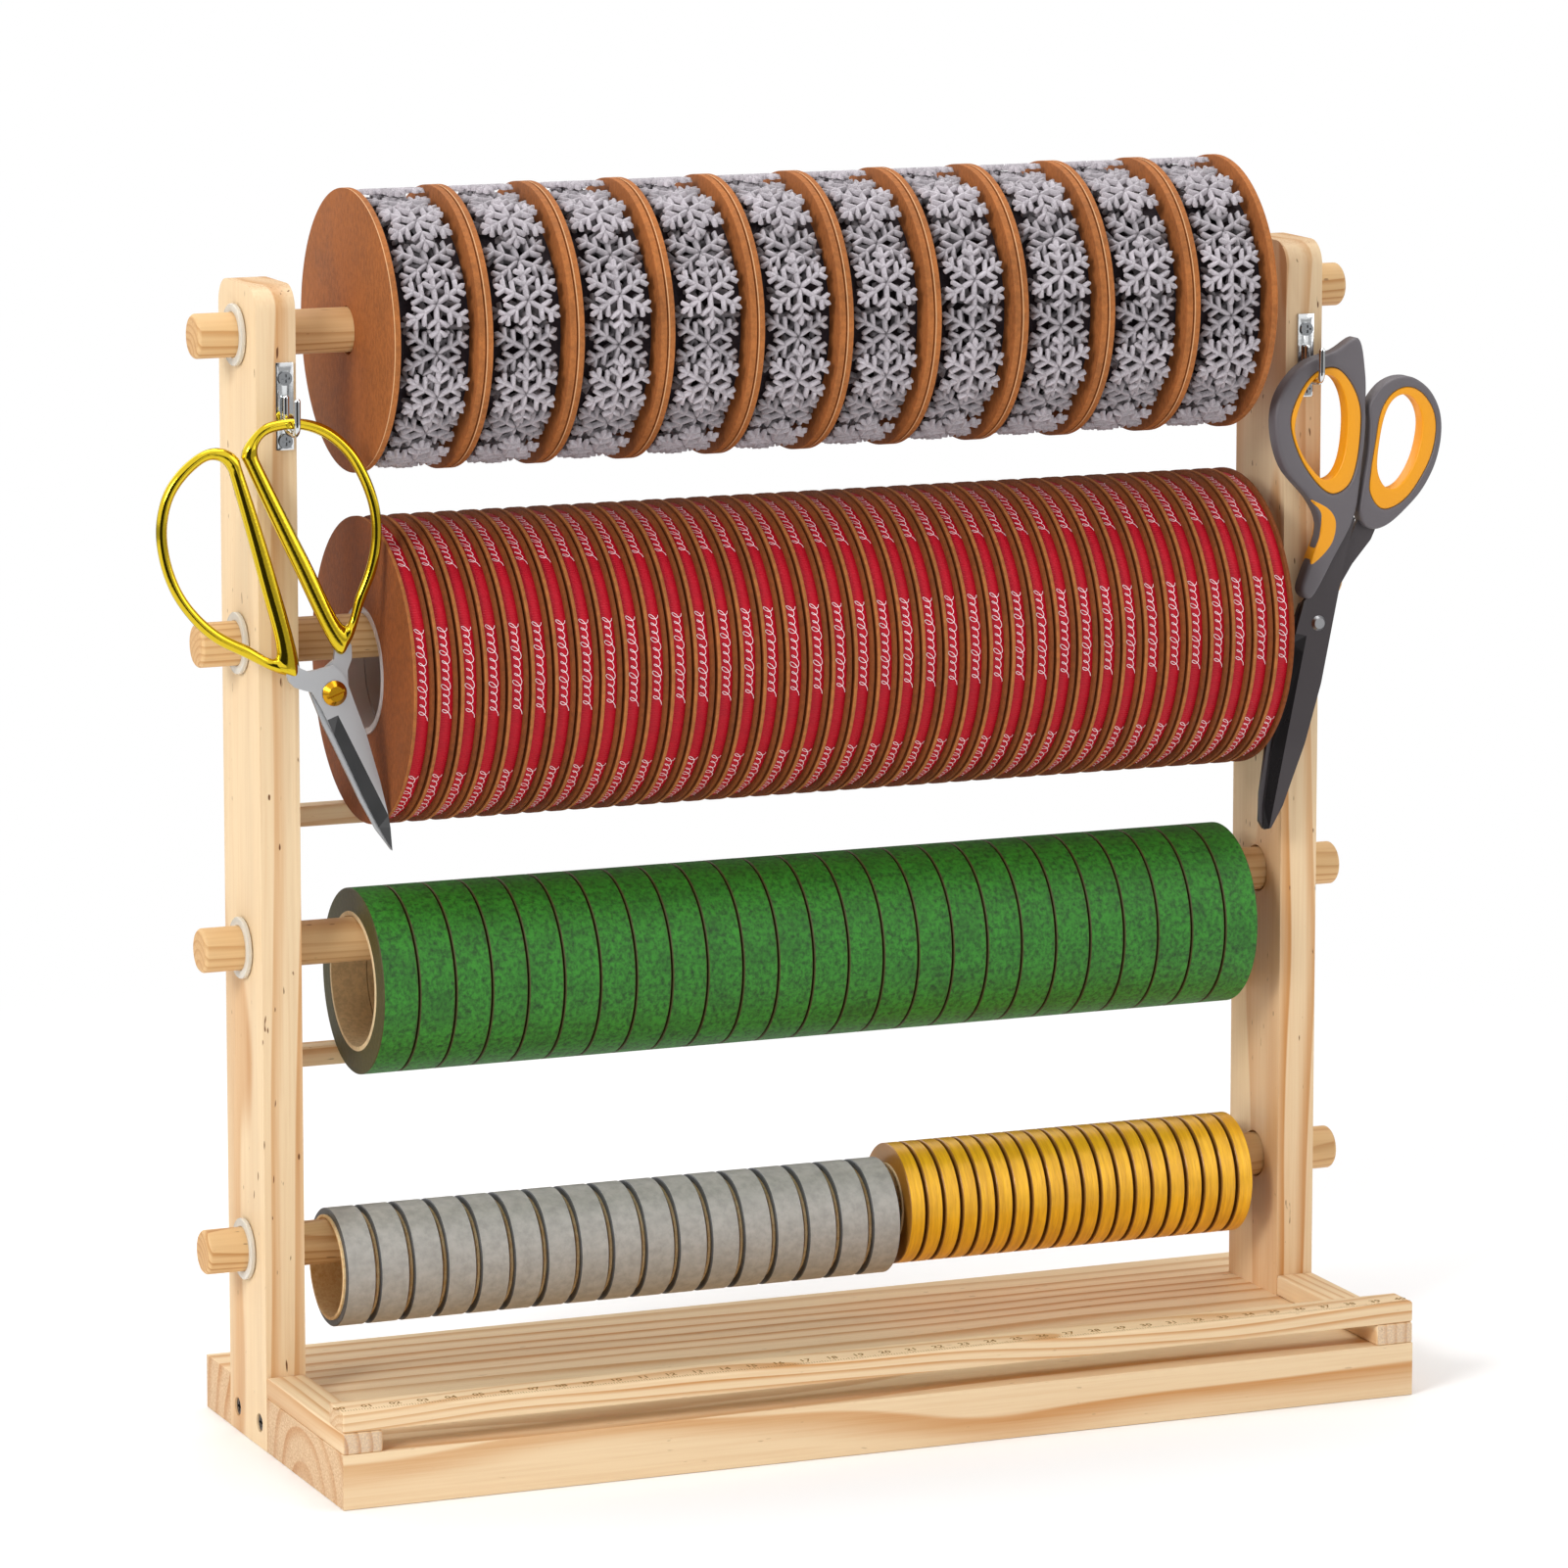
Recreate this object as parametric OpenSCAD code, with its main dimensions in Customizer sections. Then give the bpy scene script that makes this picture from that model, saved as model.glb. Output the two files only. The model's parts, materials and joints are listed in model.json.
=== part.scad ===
// Ribbon and tape dispenser rack: a wooden stand with four dowel rods full of rolls,
// a ruler rail over the ribbon slot, and two pairs of scissors on hooks.
// Millimetres, +Z up, origin at the middle of the underside, front towards -Y.

/* [Stand] */
// Width of the stand over the uprights
rack_w = 403; // [330:1:520]
// Depth of the base board
base_d = 148; // [130:1:190]
// Thickness of the base board
base_t = 19; // [15:0.5:26]
// Base board in front of the uprights
front_overhang = 81; // [60:1:88]
// Thickness of each upright
upright_t = 14.3; // [11:0.1:18]
// Depth of each upright
upright_d = 40; // [34:1:50]
// Height of the uprights
upright_h = 406; // [400:1:500]
// Rounding of the uprights' top corners
upright_corner_r = 9; // [3:0.5:15]

/* [Ruler rail] */
// Height of the side rails, which is the height of the ribbon slot
slot_h = 7.5; // [4:0.5:12]
// Depth of the ruler rail
ruler_d = 14.5; // [10:0.5:25]
// Thickness of the ruler rail
ruler_t = 7.5; // [5:0.5:12]

/* [Dowel rods] */
// Diameter of the rods
rod_d = 15.5; // [12:0.1:18.5]
// Rod end standing out past each upright
rod_overhang = 16.2; // [8:0.2:30]
// Height of the lowest rod's axis
rod_first_z = 68; // [60:1:80]
// Distance from rod to rod
rod_pitch = 106.6; // [104:0.1:112]
// Play between a rod and its hole, on the radius
rod_hole_play = 0.75; // [0.4:0.05:1.5]
// Chamfer on the rod ends
rod_chamfer = 1; // [0.2:0.1:2]
// Outer diameter of the stop rings
ring_d = 21.5; // [20:0.5:30]
// Thickness of the stop rings
ring_t = 1.8; // [1:0.1:4]

/* [Cross bars] */
// Height of the cross bars
bar_h = 7; // [5:0.5:12]
// Depth of the cross bars
bar_d = 8; // [5:0.5:14]
// How far the bars stop short of the stand's sides
bar_inset = 4.5; // [0:0.5:6]

/* [Trim spools] */
// Diameter of the card flanges
trim_spool_d = 98; // [80:1:102]
// Width of one spool
trim_spool_w = 33; // [20:0.5:40]
// Thickness of one card flange
trim_flange_t = 2.7; // [1:0.1:4]
// Diameter of the spool's core
trim_core_d = 30; // [24:1:50]
// Diameter of the bore
trim_bore_d = 16.8; // [16.4:0.2:20]
// Gap from the left upright to the first spool
trim_left_gap = 25.2; // [10:0.2:40]
// Depth of the flange above the wound trim
trim_rim = 2; // [1:0.5:10]

/* [Ribbon spools] */
// Diameter of the card flanges
ribbon_spool_d = 107; // [80:1:107]
// Width of one spool
ribbon_spool_w = 7.5; // [5:0.1:12]
// Thickness of one card flange
ribbon_flange_t = 1.3; // [0.8:0.1:2]
// Outer diameter of the clear hub
ribbon_hub_d = 45; // [40:0.5:60]
// Inner diameter of the clear hub
ribbon_hub_bore_d = 40.5; // [30:0.5:42]
// Gap from the left upright to the first spool
ribbon_left_gap = 29.8; // [14:0.2:40]
// Gap between two spools
ribbon_gap = 1.06; // [0.3:0.02:3]
// Depth of the flange above the wound ribbon
ribbon_rim = 1.6; // [0.6:0.2:10]

/* [Green tapes] */
// Diameter of a full roll
green_d = 65.2; // [56:0.2:80]
// Outer diameter of the core
green_core_d = 49; // [44:0.5:54]
// Wall of the core
green_core_wall = 1.5; // [1:0.1:3]
// Width of the tape
green_w = 12.7; // [9:0.1:20]
// Width of the core past the tape, both sides together
green_core_extra = 0.3; // [0.1:0.05:1]
// Gap from the left upright to the first roll
green_left_gap = 25.4; // [4:0.2:40]

/* [Grey tapes] */
// Diameter of a full roll
grey_d = 41.6; // [39:0.2:60]
// Outer diameter of the core
grey_core_d = 37; // [34:0.5:38]
// Wall of the core
grey_core_wall = 1; // [0.8:0.1:2]
// Width of the tape
grey_w = 10.4; // [8:0.1:16]
// Width of the core past the tape, both sides together
grey_core_extra = 1.7; // [0.2:0.1:3]
// Length of rod that the grey rolls fill
grey_run = 211; // [60:1:230]
// Gap from the left upright to the first roll
grey_left_gap = 14.7; // [4:0.2:40]

/* [Gold ribbons] */
// Diameter of a full roll
gold_d = 43.5; // [34:0.5:60]
// Outer diameter of the core
gold_core_d = 29.5; // [24:0.5:33]
// Wall of the core
gold_core_wall = 1; // [0.8:0.1:2]
// Width of the ribbon
gold_w = 5.6; // [4:0.1:12]
// Width of the core past the ribbon, both sides together
gold_core_extra = 0.9; // [0.2:0.1:3]

/* [Hooks] */
// Width of the hook plates
plate_w = 6.3; // [5:0.1:9]
// Height of the hook plates
plate_h = 30; // [24:1:40]
// Thickness of the hook plates
plate_t = 1; // [0.6:0.1:2]
// Drop from the top rod's axis to the top of the hook plates
plate_drop = 7.8; // [5:0.1:12]
// Diameter of the hook wire
hook_wire_d = 2.3; // [1.6:0.1:3]
// Distance between the hook's two legs, centre to centre
hook_span = 12; // [11:0.5:20]
// Height of the hook's legs
hook_leg_h = 7.6; // [4:0.2:14]

/* [Scissors] */
// Slant of the gold scissors
gold_tilt = 20.3; // [10:0.1:21]
// Thickness of the gold scissors' blades
gold_blade_t = 1.5; // [1:0.1:2]
// Thickness of the gold scissors' handles
gold_handle_t = 5; // [3.5:0.1:7]
// Length of the gold scissors' blades from pivot to tip
gold_blade_l = 60; // [45:1:61]
// Slant of the grey scissors
grey_tilt = -14.9; // [-15:0.1:-5]
// Thickness of the grey scissors' blades
grey_blade_t = 1.8; // [1:0.1:2.4]
// Thickness of the grey scissors' handles
grey_handle_t = 7; // [5:0.1:7.4]
// Length of the grey scissors' blades from pivot to tip
grey_blade_l = 77; // [60:1:78]

/* [Hidden] */
$fn = 64;

// Fits and gaps
run_fit = 0.05;   // shaft in its hole, on the radius, across a joint
air = 0.3;        // between two pieces that move past each other
eps = 0.01;       // overshoot of a cut
roll_gap = 0.2;   // between two full-width rolls

// Stand
half_w = rack_w / 2;
inner_x = half_w - upright_t;
base_front_y = -base_d / 2;
upright_front_y = base_front_y + front_overhang;
upright_back_y = upright_front_y + upright_d;
rod_y = upright_front_y + upright_d / 2;
rod_r = rod_d / 2;
inner_w = rack_w - 2 * upright_t;

// Bolts from the uprights into the base board's ends
bolt_z = base_t * 0.45;
bolt_y_offset = 12;
bolt_head_d = 5.8;
bolt_head_t = 1.6;
bolt_recess_d = 6.6;
bolt_recess_depth = 2.2;
bolt_shank_d = 3.6;
bolt_l = upright_t + 26;

// Cross bars sit on the uprights' back faces, just below two rows of rolls
bar_clear = 0.8;
bar_screw_d = 3;
bar_screw_head_d = 5.4;
bar_screw_head_t = 1.4;
bar_screw_l = bar_d + 14;
bar_screw_x = half_w - upright_t / 2;

// Rod i counts from the top, 1 to 4
function rod_z(i) = rod_first_z + (4 - i) * rod_pitch;
// A roll hangs with its bore resting on the rod, one air gap above it
function hang_z(i, bore_d) = rod_z(i) + rod_r + air - bore_d / 2;
function fit_count(run, pitch) = floor(run / pitch + 0.001);

green_bore_d = green_core_d - 2 * green_core_wall;
grey_bore_d = grey_core_d - 2 * grey_core_wall;
gold_bore_d = gold_core_d - 2 * gold_core_wall;
trim_z = hang_z(1, trim_bore_d);
ribbon_z = hang_z(2, ribbon_hub_bore_d);
green_z = hang_z(3, green_bore_d);
grey_z = hang_z(4, grey_bore_d);
gold_z = hang_z(4, gold_bore_d);

// Rows fill the rod from their left gap to a free end on the right
row_end_gap = 9.6;
trim_pitch = trim_spool_w + roll_gap;
ribbon_pitch = ribbon_spool_w + ribbon_gap;
green_pitch = green_w + green_core_extra + 0.38;
grey_pitch = grey_w + grey_core_extra + 0.3;
gold_pitch = gold_w + gold_core_extra + 0.34;
gold_start = -inner_x + grey_left_gap + grey_run + 1.9;
trim_count = fit_count(inner_w - trim_left_gap - row_end_gap, trim_pitch);
ribbon_count = fit_count(inner_w - ribbon_left_gap - row_end_gap, ribbon_pitch);
green_count = fit_count(inner_w - green_left_gap - row_end_gap, green_pitch);
grey_count = fit_count(grey_run, grey_pitch);
gold_count = fit_count(inner_x - row_end_gap - gold_start, gold_pitch);

// The bar's front top edge clears the roll above it
function below_roll(z, d) = z - sqrt(pow(d / 2, 2) - pow(upright_d / 2, 2)) - bar_clear - bar_h;
upper_bar_z = below_roll(ribbon_z, ribbon_spool_d);
lower_bar_z = below_roll(green_z, green_d);

// Hooks
plate_top_z = rod_z(1) - plate_drop;
plate_front_y = upright_front_y - plate_t;
hook_bend_r = 4;
hook_back_y = plate_front_y - hook_wire_d / 2;
hook_mid_y = hook_back_y - hook_span / 2;
hook_z = plate_top_z - 23.6;
left_hook_x = -half_w + 9.9;
right_hook_x = half_w - 6.8;
plate_screw_inset = 5.4;
plate_screw_d = 2.4;
plate_screw_head_d = 4.8;
plate_screw_head_t = 1.1;
plate_screw_l = 12;

// Scissors: local x to the right and y up from the pivot, blades pointing down
gold_hang = [18.1, 89];
gold_pivot_d = 3.6;
gold_head_d = 8.8;
grey_hang = [-24.2, 84.2];
grey_pivot_d = 3.4;
grey_head_d = 5.6;
blade_gap = air / 2;

// ---- Curves ----

// Point on a smooth closed curve through the points, t from 0 to 1 between p1 and p2
function blend_point(p0, p1, p2, p3, t) =
  p1 + 0.5 * t * (p2 - p0 + t * (2 * p0 - 5 * p1 + 4 * p2 - p3 + t * (3 * (p1 - p2) + p3 - p0)));
function smooth(p, steps = 5) = [
  for (i = [0 : len(p) - 1], k = [0 : steps - 1])
    let (n = len(p))
    blend_point(p[(i + n - 1) % n], p[i], p[(i + 1) % n], p[(i + 2) % n], k / steps)
];

// ---- Shared shapes ----

module along_x(x, y, z) {
  translate([x, y, z]) rotate([0, 90, 0]) children();
}

module tube(outer_d, inner_d, length) {
  difference() {
    cylinder(d = outer_d, h = length);
    translate([0, 0, -1]) cylinder(d = inner_d, h = length + 2);
  }
}

// Repeats a shape along a rod, once for each roll
module row(left_x, z, pitch, count) {
  for (i = [0 : count - 1]) {
    along_x(left_x + i * pitch, rod_y, z) children();
  }
}

module cross_recess(d, depth) {
  for (a = [0, 90]) {
    rotate([0, 0, a]) translate([-d / 2, -d / 8, -depth]) cube([d, d / 4, depth + eps]);
  }
}

// A screw whose head's top is at z = 0 and whose shank points down
module screw(head_d, head_t, shank_d, length) {
  difference() {
    union() {
      translate([0, 0, -head_t]) cylinder(d = head_d, h = head_t);
      translate([0, 0, -length]) cylinder(d = shank_d, h = length);
    }
    cross_recess(head_d * 0.62, head_t * 0.5);
  }
}

// A flat plate in the XZ plane, from y0 to y0 + t
module standing(y0, t) {
  translate([0, y0 + t, 0]) rotate([90, 0, 0]) linear_extrude(t) children();
}

// ---- Stand ----

module bolt_places(side) {
  for (s = [-1, 1]) {
    translate([side * half_w, rod_y + s * bolt_y_offset, bolt_z]) rotate([0, side * 90, 0]) children();
  }
}

module bolt_holes(side) {
  bolt_places(side) {
    translate([0, 0, -bolt_recess_depth]) cylinder(d = bolt_recess_d, h = bolt_recess_depth + 1);
    translate([0, 0, -bolt_l - bolt_recess_depth]) cylinder(d = bolt_shank_d, h = bolt_l + bolt_recess_depth);
  }
}

module plate_screw_places() {
  for (x = [left_hook_x, right_hook_x], z = [plate_top_z - plate_screw_inset, plate_top_z - plate_h + 3]) {
    translate([x, plate_front_y - plate_screw_head_t, z]) rotate([90, 0, 0]) children();
  }
}

module bar_screw_places() {
  for (x = [-bar_screw_x, bar_screw_x], z = [upper_bar_z, lower_bar_z]) {
    translate([x, upright_back_y + bar_d + bar_screw_head_t, z + bar_h / 2]) rotate([-90, 0, 0]) children();
  }
}

module base_board() {
  color("burlywood") difference() {
    translate([-half_w, base_front_y, 0]) cube([rack_w, base_d, base_t]);
    for (side = [-1, 1]) {
      translate([side > 0 ? inner_x : -half_w - 1, upright_front_y, -1])
        cube([upright_t + 1, upright_d, base_t + 2]);
      bolt_holes(side);
    }
  }
}

module upright(side) {
  difference() {
    translate([side > 0 ? inner_x : -half_w, upright_front_y, 0]) union() {
      cube([upright_t, upright_d, upright_h - upright_corner_r]);
      translate([0, upright_corner_r, 0]) cube([upright_t, upright_d - 2 * upright_corner_r, upright_h]);
      for (y = [upright_corner_r, upright_d - upright_corner_r]) {
        along_x(0, y, upright_h - upright_corner_r) cylinder(r = upright_corner_r, h = upright_t);
      }
    }
    for (i = [1 : 4]) {
      along_x(-half_w - 1, rod_y, rod_z(i)) cylinder(r = rod_r + rod_hole_play, h = rack_w + 2);
    }
    bolt_holes(side);
    plate_screw_places() translate([0, 0, -plate_screw_l - plate_screw_head_t])
      cylinder(d = plate_screw_d, h = plate_screw_l + plate_screw_head_t);
    bar_screw_places() translate([0, 0, -bar_screw_l]) cylinder(d = bar_screw_d, h = bar_screw_l);
  }
}

module left_upright() {
  color("wheat") upright(-1);
}

module right_upright() {
  color("wheat") upright(1);
}

module side_rail(side) {
  translate([side > 0 ? inner_x : -half_w, base_front_y, base_t]) cube([upright_t, front_overhang, slot_h]);
}

module left_side_rail() {
  color("wheat") side_rail(-1);
}

module right_side_rail() {
  color("wheat") side_rail(1);
}

module ruler_rail() {
  color("moccasin") translate([-half_w, base_front_y, base_t + slot_h]) cube([rack_w, ruler_d, ruler_t]);
}

module cross_bar(z) {
  difference() {
    translate([-half_w + bar_inset, upright_back_y, z]) cube([rack_w - 2 * bar_inset, bar_d, bar_h]);
    bar_screw_places() translate([0, 0, -bar_screw_l]) cylinder(d = bar_screw_d, h = bar_screw_l);
  }
}

module upper_cross_bar() {
  color("tan") cross_bar(upper_bar_z);
}

module lower_cross_bar() {
  color("tan") cross_bar(lower_bar_z);
}

module upright_bolts() {
  color("#202020") for (side = [-1, 1]) {
    bolt_places(side) translate([0, 0, -(bolt_recess_depth - bolt_head_t)])
      screw(bolt_head_d, bolt_head_t, bolt_shank_d, bolt_l);
  }
}

module cross_bar_screws() {
  color("goldenrod") bar_screw_places()
    screw(bar_screw_head_d, bar_screw_head_t, bar_screw_d, bar_screw_l);
}

// ---- Hooks ----

module hook_plate(x) {
  difference() {
    translate([x - plate_w / 2, plate_front_y, plate_top_z - plate_h]) cube([plate_w, plate_t, plate_h]);
    plate_screw_places() translate([0, 0, -plate_screw_l]) cylinder(d = plate_screw_d, h = plate_screw_l);
  }
}

module left_hook_plate() {
  color("silver") hook_plate(left_hook_x);
}

module right_hook_plate() {
  color("silver") hook_plate(right_hook_x);
}

module hook_plate_screws() {
  color("gainsboro") plate_screw_places()
    screw(plate_screw_head_d, plate_screw_head_t, plate_screw_d, plate_screw_l);
}

module hook_bend() {
  rotate_extrude(angle = 90) translate([hook_bend_r, 0]) circle(d = hook_wire_d, $fn = 32);
}

// A wire hook: a leg on the plate, two bends with a flat between them, and a front leg
module wire_hook(x) {
  flat = hook_span - 2 * hook_bend_r;
  translate([x, 0, hook_z]) {
    for (y = [hook_back_y, hook_back_y - hook_span]) {
      translate([0, y, hook_bend_r]) cylinder(d = hook_wire_d, h = hook_leg_h, $fn = 32);
      translate([0, y, hook_bend_r + hook_leg_h]) sphere(d = hook_wire_d, $fn = 32);
    }
    translate([0, hook_mid_y + flat / 2, 0]) rotate([90, 0, 0]) cylinder(d = hook_wire_d, h = flat, $fn = 32);
    translate([0, hook_mid_y + flat / 2, hook_bend_r]) rotate([90, 0, 90]) rotate([0, 0, -90]) hook_bend();
    translate([0, hook_mid_y - flat / 2, hook_bend_r]) rotate([90, 0, 90]) rotate([0, 0, 180]) hook_bend();
  }
}

module left_hook() {
  color("silver") wire_hook(left_hook_x);
}

module right_hook() {
  color("silver") wire_hook(right_hook_x);
}

// ---- Rods ----

module rod(i) {
  length = rack_w + 2 * rod_overhang;
  along_x(-length / 2, rod_y, rod_z(i)) {
    translate([0, 0, rod_chamfer]) cylinder(r = rod_r, h = length - 2 * rod_chamfer);
    cylinder(r1 = rod_r - rod_chamfer, r2 = rod_r, h = rod_chamfer);
    translate([0, 0, length - rod_chamfer]) cylinder(r1 = rod_r, r2 = rod_r - rod_chamfer, h = rod_chamfer);
  }
}

module dowel_rod_1() {
  color("burlywood") rod(1);
}

module dowel_rod_2() {
  color("burlywood") rod(2);
}

module dowel_rod_3() {
  color("burlywood") rod(3);
}

module dowel_rod_4() {
  color("burlywood") rod(4);
}

// A soft ring that stops the rod against the left upright's outer face
module stop_ring(i) {
  along_x(-half_w - air - ring_t, rod_y, rod_z(i)) tube(ring_d, rod_d + 2 * run_fit, ring_t);
}

module stop_ring_1() {
  color("white") stop_ring(1);
}

module stop_ring_2() {
  color("white") stop_ring(2);
}

module stop_ring_3() {
  color("white") stop_ring(3);
}

module stop_ring_4() {
  color("white") stop_ring(4);
}

// ---- Rolls ----

module trim_row() {
  row(-inner_x + trim_left_gap, trim_z, trim_pitch, trim_count) children();
}

module ribbon_row() {
  row(-inner_x + ribbon_left_gap, ribbon_z, ribbon_pitch, ribbon_count) children();
}

module trim_spools() {
  color("peru") trim_row() {
    tube(trim_core_d, trim_bore_d, trim_spool_w);
    tube(trim_spool_d, trim_bore_d, trim_flange_t);
    translate([0, 0, trim_spool_w - trim_flange_t]) tube(trim_spool_d, trim_bore_d, trim_flange_t);
  }
}

module trim_windings() {
  color("slategray") trim_row() translate([0, 0, trim_flange_t])
    tube(trim_spool_d - 2 * trim_rim, trim_core_d, trim_spool_w - 2 * trim_flange_t);
}

module ribbon_spools() {
  color("peru") ribbon_row() {
    for (z = [0, ribbon_spool_w - ribbon_flange_t]) {
      translate([0, 0, z]) tube(ribbon_spool_d, ribbon_hub_d, ribbon_flange_t);
    }
  }
}

module ribbon_hubs() {
  lip = ribbon_gap / 4;
  color("whitesmoke") ribbon_row() translate([0, 0, -lip])
    tube(ribbon_hub_d, ribbon_hub_bore_d, ribbon_spool_w + 2 * lip);
}

module ribbon_windings() {
  color("crimson") ribbon_row() translate([0, 0, ribbon_flange_t])
    tube(ribbon_spool_d - 2 * ribbon_rim, ribbon_hub_d, ribbon_spool_w - 2 * ribbon_flange_t);
}

module green_cores() {
  color("bisque") row(-inner_x + green_left_gap, green_z, green_pitch, green_count)
    tube(green_core_d, green_bore_d, green_w + green_core_extra);
}

module green_tapes() {
  start = -inner_x + green_left_gap + green_core_extra / 2;
  color("forestgreen") row(start, green_z, green_pitch, green_count) tube(green_d, green_core_d, green_w);
}

module grey_cores() {
  color("burlywood") row(-inner_x + grey_left_gap, grey_z, grey_pitch, grey_count)
    tube(grey_core_d, grey_bore_d, grey_w + grey_core_extra);
}

module grey_tapes() {
  start = -inner_x + grey_left_gap + grey_core_extra / 2;
  color("gray") row(start, grey_z, grey_pitch, grey_count) tube(grey_d, grey_core_d, grey_w);
}

module gold_cores() {
  color("mistyrose") row(gold_start, gold_z, gold_pitch, gold_count)
    tube(gold_core_d, gold_bore_d, gold_w + gold_core_extra);
}

module gold_ribbons() {
  color("goldenrod") row(gold_start + gold_core_extra / 2, gold_z, gold_pitch, gold_count)
    tube(gold_d, gold_core_d, gold_w);
}

// ---- Gold scissors ----

module place_gold() {
  translate([left_hook_x, hook_mid_y, hook_z]) rotate([0, -gold_tilt, 0])
    translate([-gold_hang[0], 0, -gold_hang[1]]) children();
}

// One closed loop of the handle: straight leg inside, round bow outside
gold_right_outer = [
  [5.6, 14], [12, 14], [21.6, 25], [29.5, 33.5], [35.2, 43.5], [38.2, 54], [38.4, 66], [36, 77.5],
  [30.4, 87], [22.2, 93], [12, 95.9], [4.8, 94], [-0.8, 89.5], [-0.9, 83], [2, 48]
];
gold_right_inner = [
  [11.6, 20.6], [19.6, 28.2], [27, 36.4], [32, 45], [34.7, 54.5], [34.8, 65], [32.8, 75], [28, 83.6],
  [20.9, 89.5], [12, 92.2], [7, 91.2], [4.4, 87.5], [4.7, 80], [8.2, 48]
];
gold_left_outer = [
  [-8, 13], [-14.2, 13], [-25, 24.4], [-33, 33.6], [-38, 43.6], [-40.8, 55], [-40.6, 67], [-37.6, 78.2],
  [-31.4, 87.6], [-23.4, 93.2], [-14, 95.9], [-7.2, 94.6], [-2.8, 89.8], [-2.6, 83], [-4.4, 48]
];
gold_left_inner = [
  [-14, 20.2], [-22.6, 28], [-30, 36.4], [-34.7, 45.4], [-37.2, 55.4], [-37, 66.4], [-34.3, 76.4],
  [-29, 84.6], [-22, 89.6], [-14, 92.2], [-9.4, 90.8], [-7.4, 87], [-7.6, 80], [-10.5, 48]
];

function gold_front_outline() = [
  [-13.4, 16], [-13.6, 10.4], [-12.4, 7.6], [-9.7, 5.3], [-7.3, 3.5], [-6, -4],
  [-4.9, -gold_blade_l * 0.26], [-3.1, -gold_blade_l * 0.64],
  [-1.7, -gold_blade_l * 0.84], [0, -gold_blade_l],
  [2.2, -gold_blade_l * 0.87], [4.2, -gold_blade_l * 0.6], [5.5, -gold_blade_l * 0.3], [5.5, 2.6], [4.9, 5.8],
  [3.1, 9.2], [-2.6, 10], [-6, 10.8], [-8.2, 13], [-9, 16]
];
function gold_back_outline() = [
  [6.4, 17], [10.6, 17], [12, 12.6], [10.5, 8.2], [7.6, 5], [6, 0],
  [5, -gold_blade_l * 0.36], [3, -gold_blade_l * 0.72], [0, -gold_blade_l], [-2.6, -gold_blade_l * 0.85],
  [-4.3, -gold_blade_l * 0.66], [-6, -gold_blade_l * 0.36], [-7.3, -gold_blade_l * 0.15], [-7.6, 3.2],
  [-6, 7.6], [0, 9], [4.4, 10.4], [5.8, 13]
];

module gold_blade(y0) {
  standing(y0, gold_blade_t) difference() {
    children();
    circle(r = gold_pivot_d / 2 + run_fit);
  }
}

module gold_back_solid() {
  gold_blade(blade_gap) polygon(gold_back_outline());
}

module gold_front_solid() {
  gold_blade(-blade_gap - gold_blade_t) polygon(gold_front_outline());
}

module gold_loop(outer, inner) {
  standing(-gold_handle_t / 2, gold_handle_t) difference() {
    polygon(smooth(outer));
    polygon(smooth(inner));
  }
}

module gold_hanging_handle() {
  color("gold") place_gold() difference() {
    gold_loop(gold_right_outer, gold_right_inner);
    gold_back_solid();
  }
}

module gold_hanging_blade() {
  color("silver") place_gold() gold_back_solid();
}

module gold_free_handle() {
  color("gold") place_gold() difference() {
    gold_loop(gold_left_outer, gold_left_inner);
    gold_front_solid();
  }
}

module gold_free_blade() {
  color("silver") place_gold() gold_front_solid();
}

module gold_pivot_screw() {
  front_y = -blade_gap - gold_blade_t - air;
  back_y = blade_gap + gold_blade_t;
  color("goldenrod") place_gold() rotate([90, 0, 0]) {
    translate([0, 0, -back_y]) cylinder(d = gold_pivot_d, h = back_y - front_y);
    translate([0, 0, -back_y - 0.8]) cylinder(d = gold_pivot_d + 2, h = 0.8);
    difference() {
      translate([0, 0, -front_y]) cylinder(d1 = gold_head_d, d2 = gold_head_d * 0.6, h = 1.8);
      translate([-gold_head_d / 2, -0.5, -front_y + 1]) cube([gold_head_d, 1, 1]);
    }
  }
}

// ---- Grey scissors ----

module place_grey() {
  translate([right_hook_x, hook_mid_y, hook_z]) rotate([0, -grey_tilt, 0])
    translate([-grey_hang[0], 0, -grey_hang[1]]) children();
}

grey_main_outer = [
  [-12.5, 103], [-20.5, 96.5], [-31.5, 89], [-37.6, 77], [-36.5, 64.5], [-29, 51.5], [-16, 42.5],
  [-9.6, 35], [-9, 26], [-10.4, 17], [-10.4, 9.6], [-5.4, 8.6], [-0.8, 24], [3.2, 40], [2, 54], [0, 66],
  [-3, 80], [-6.5, 92]
];
grey_main_ring = [
  [-30.7, 68], [-29.8, 79.5], [-25.4, 87.6], [-18.4, 90.6], [-11.3, 86.9], [-5.4, 79.5], [-2.6, 70],
  [-1.2, 59], [-2.2, 51], [-7.4, 46.6], [-14.6, 49], [-24, 57]
];
grey_main_hole = [
  [-28.9, 68], [-28, 80], [-24.4, 86], [-18.5, 87.4], [-12.9, 82.6], [-9, 74], [-6.9, 62], [-8, 54],
  [-12.3, 50.8], [-19.2, 54.4], [-25.6, 60.6]
];
grey_inset_outline = [
  [-15.6, 42.6], [-10.6, 38.6], [-8.6, 30.6], [-9.6, 20.4], [-6.4, 22.8], [-3, 29.6], [-3.6, 37],
  [-8, 41.2]
];
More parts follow.
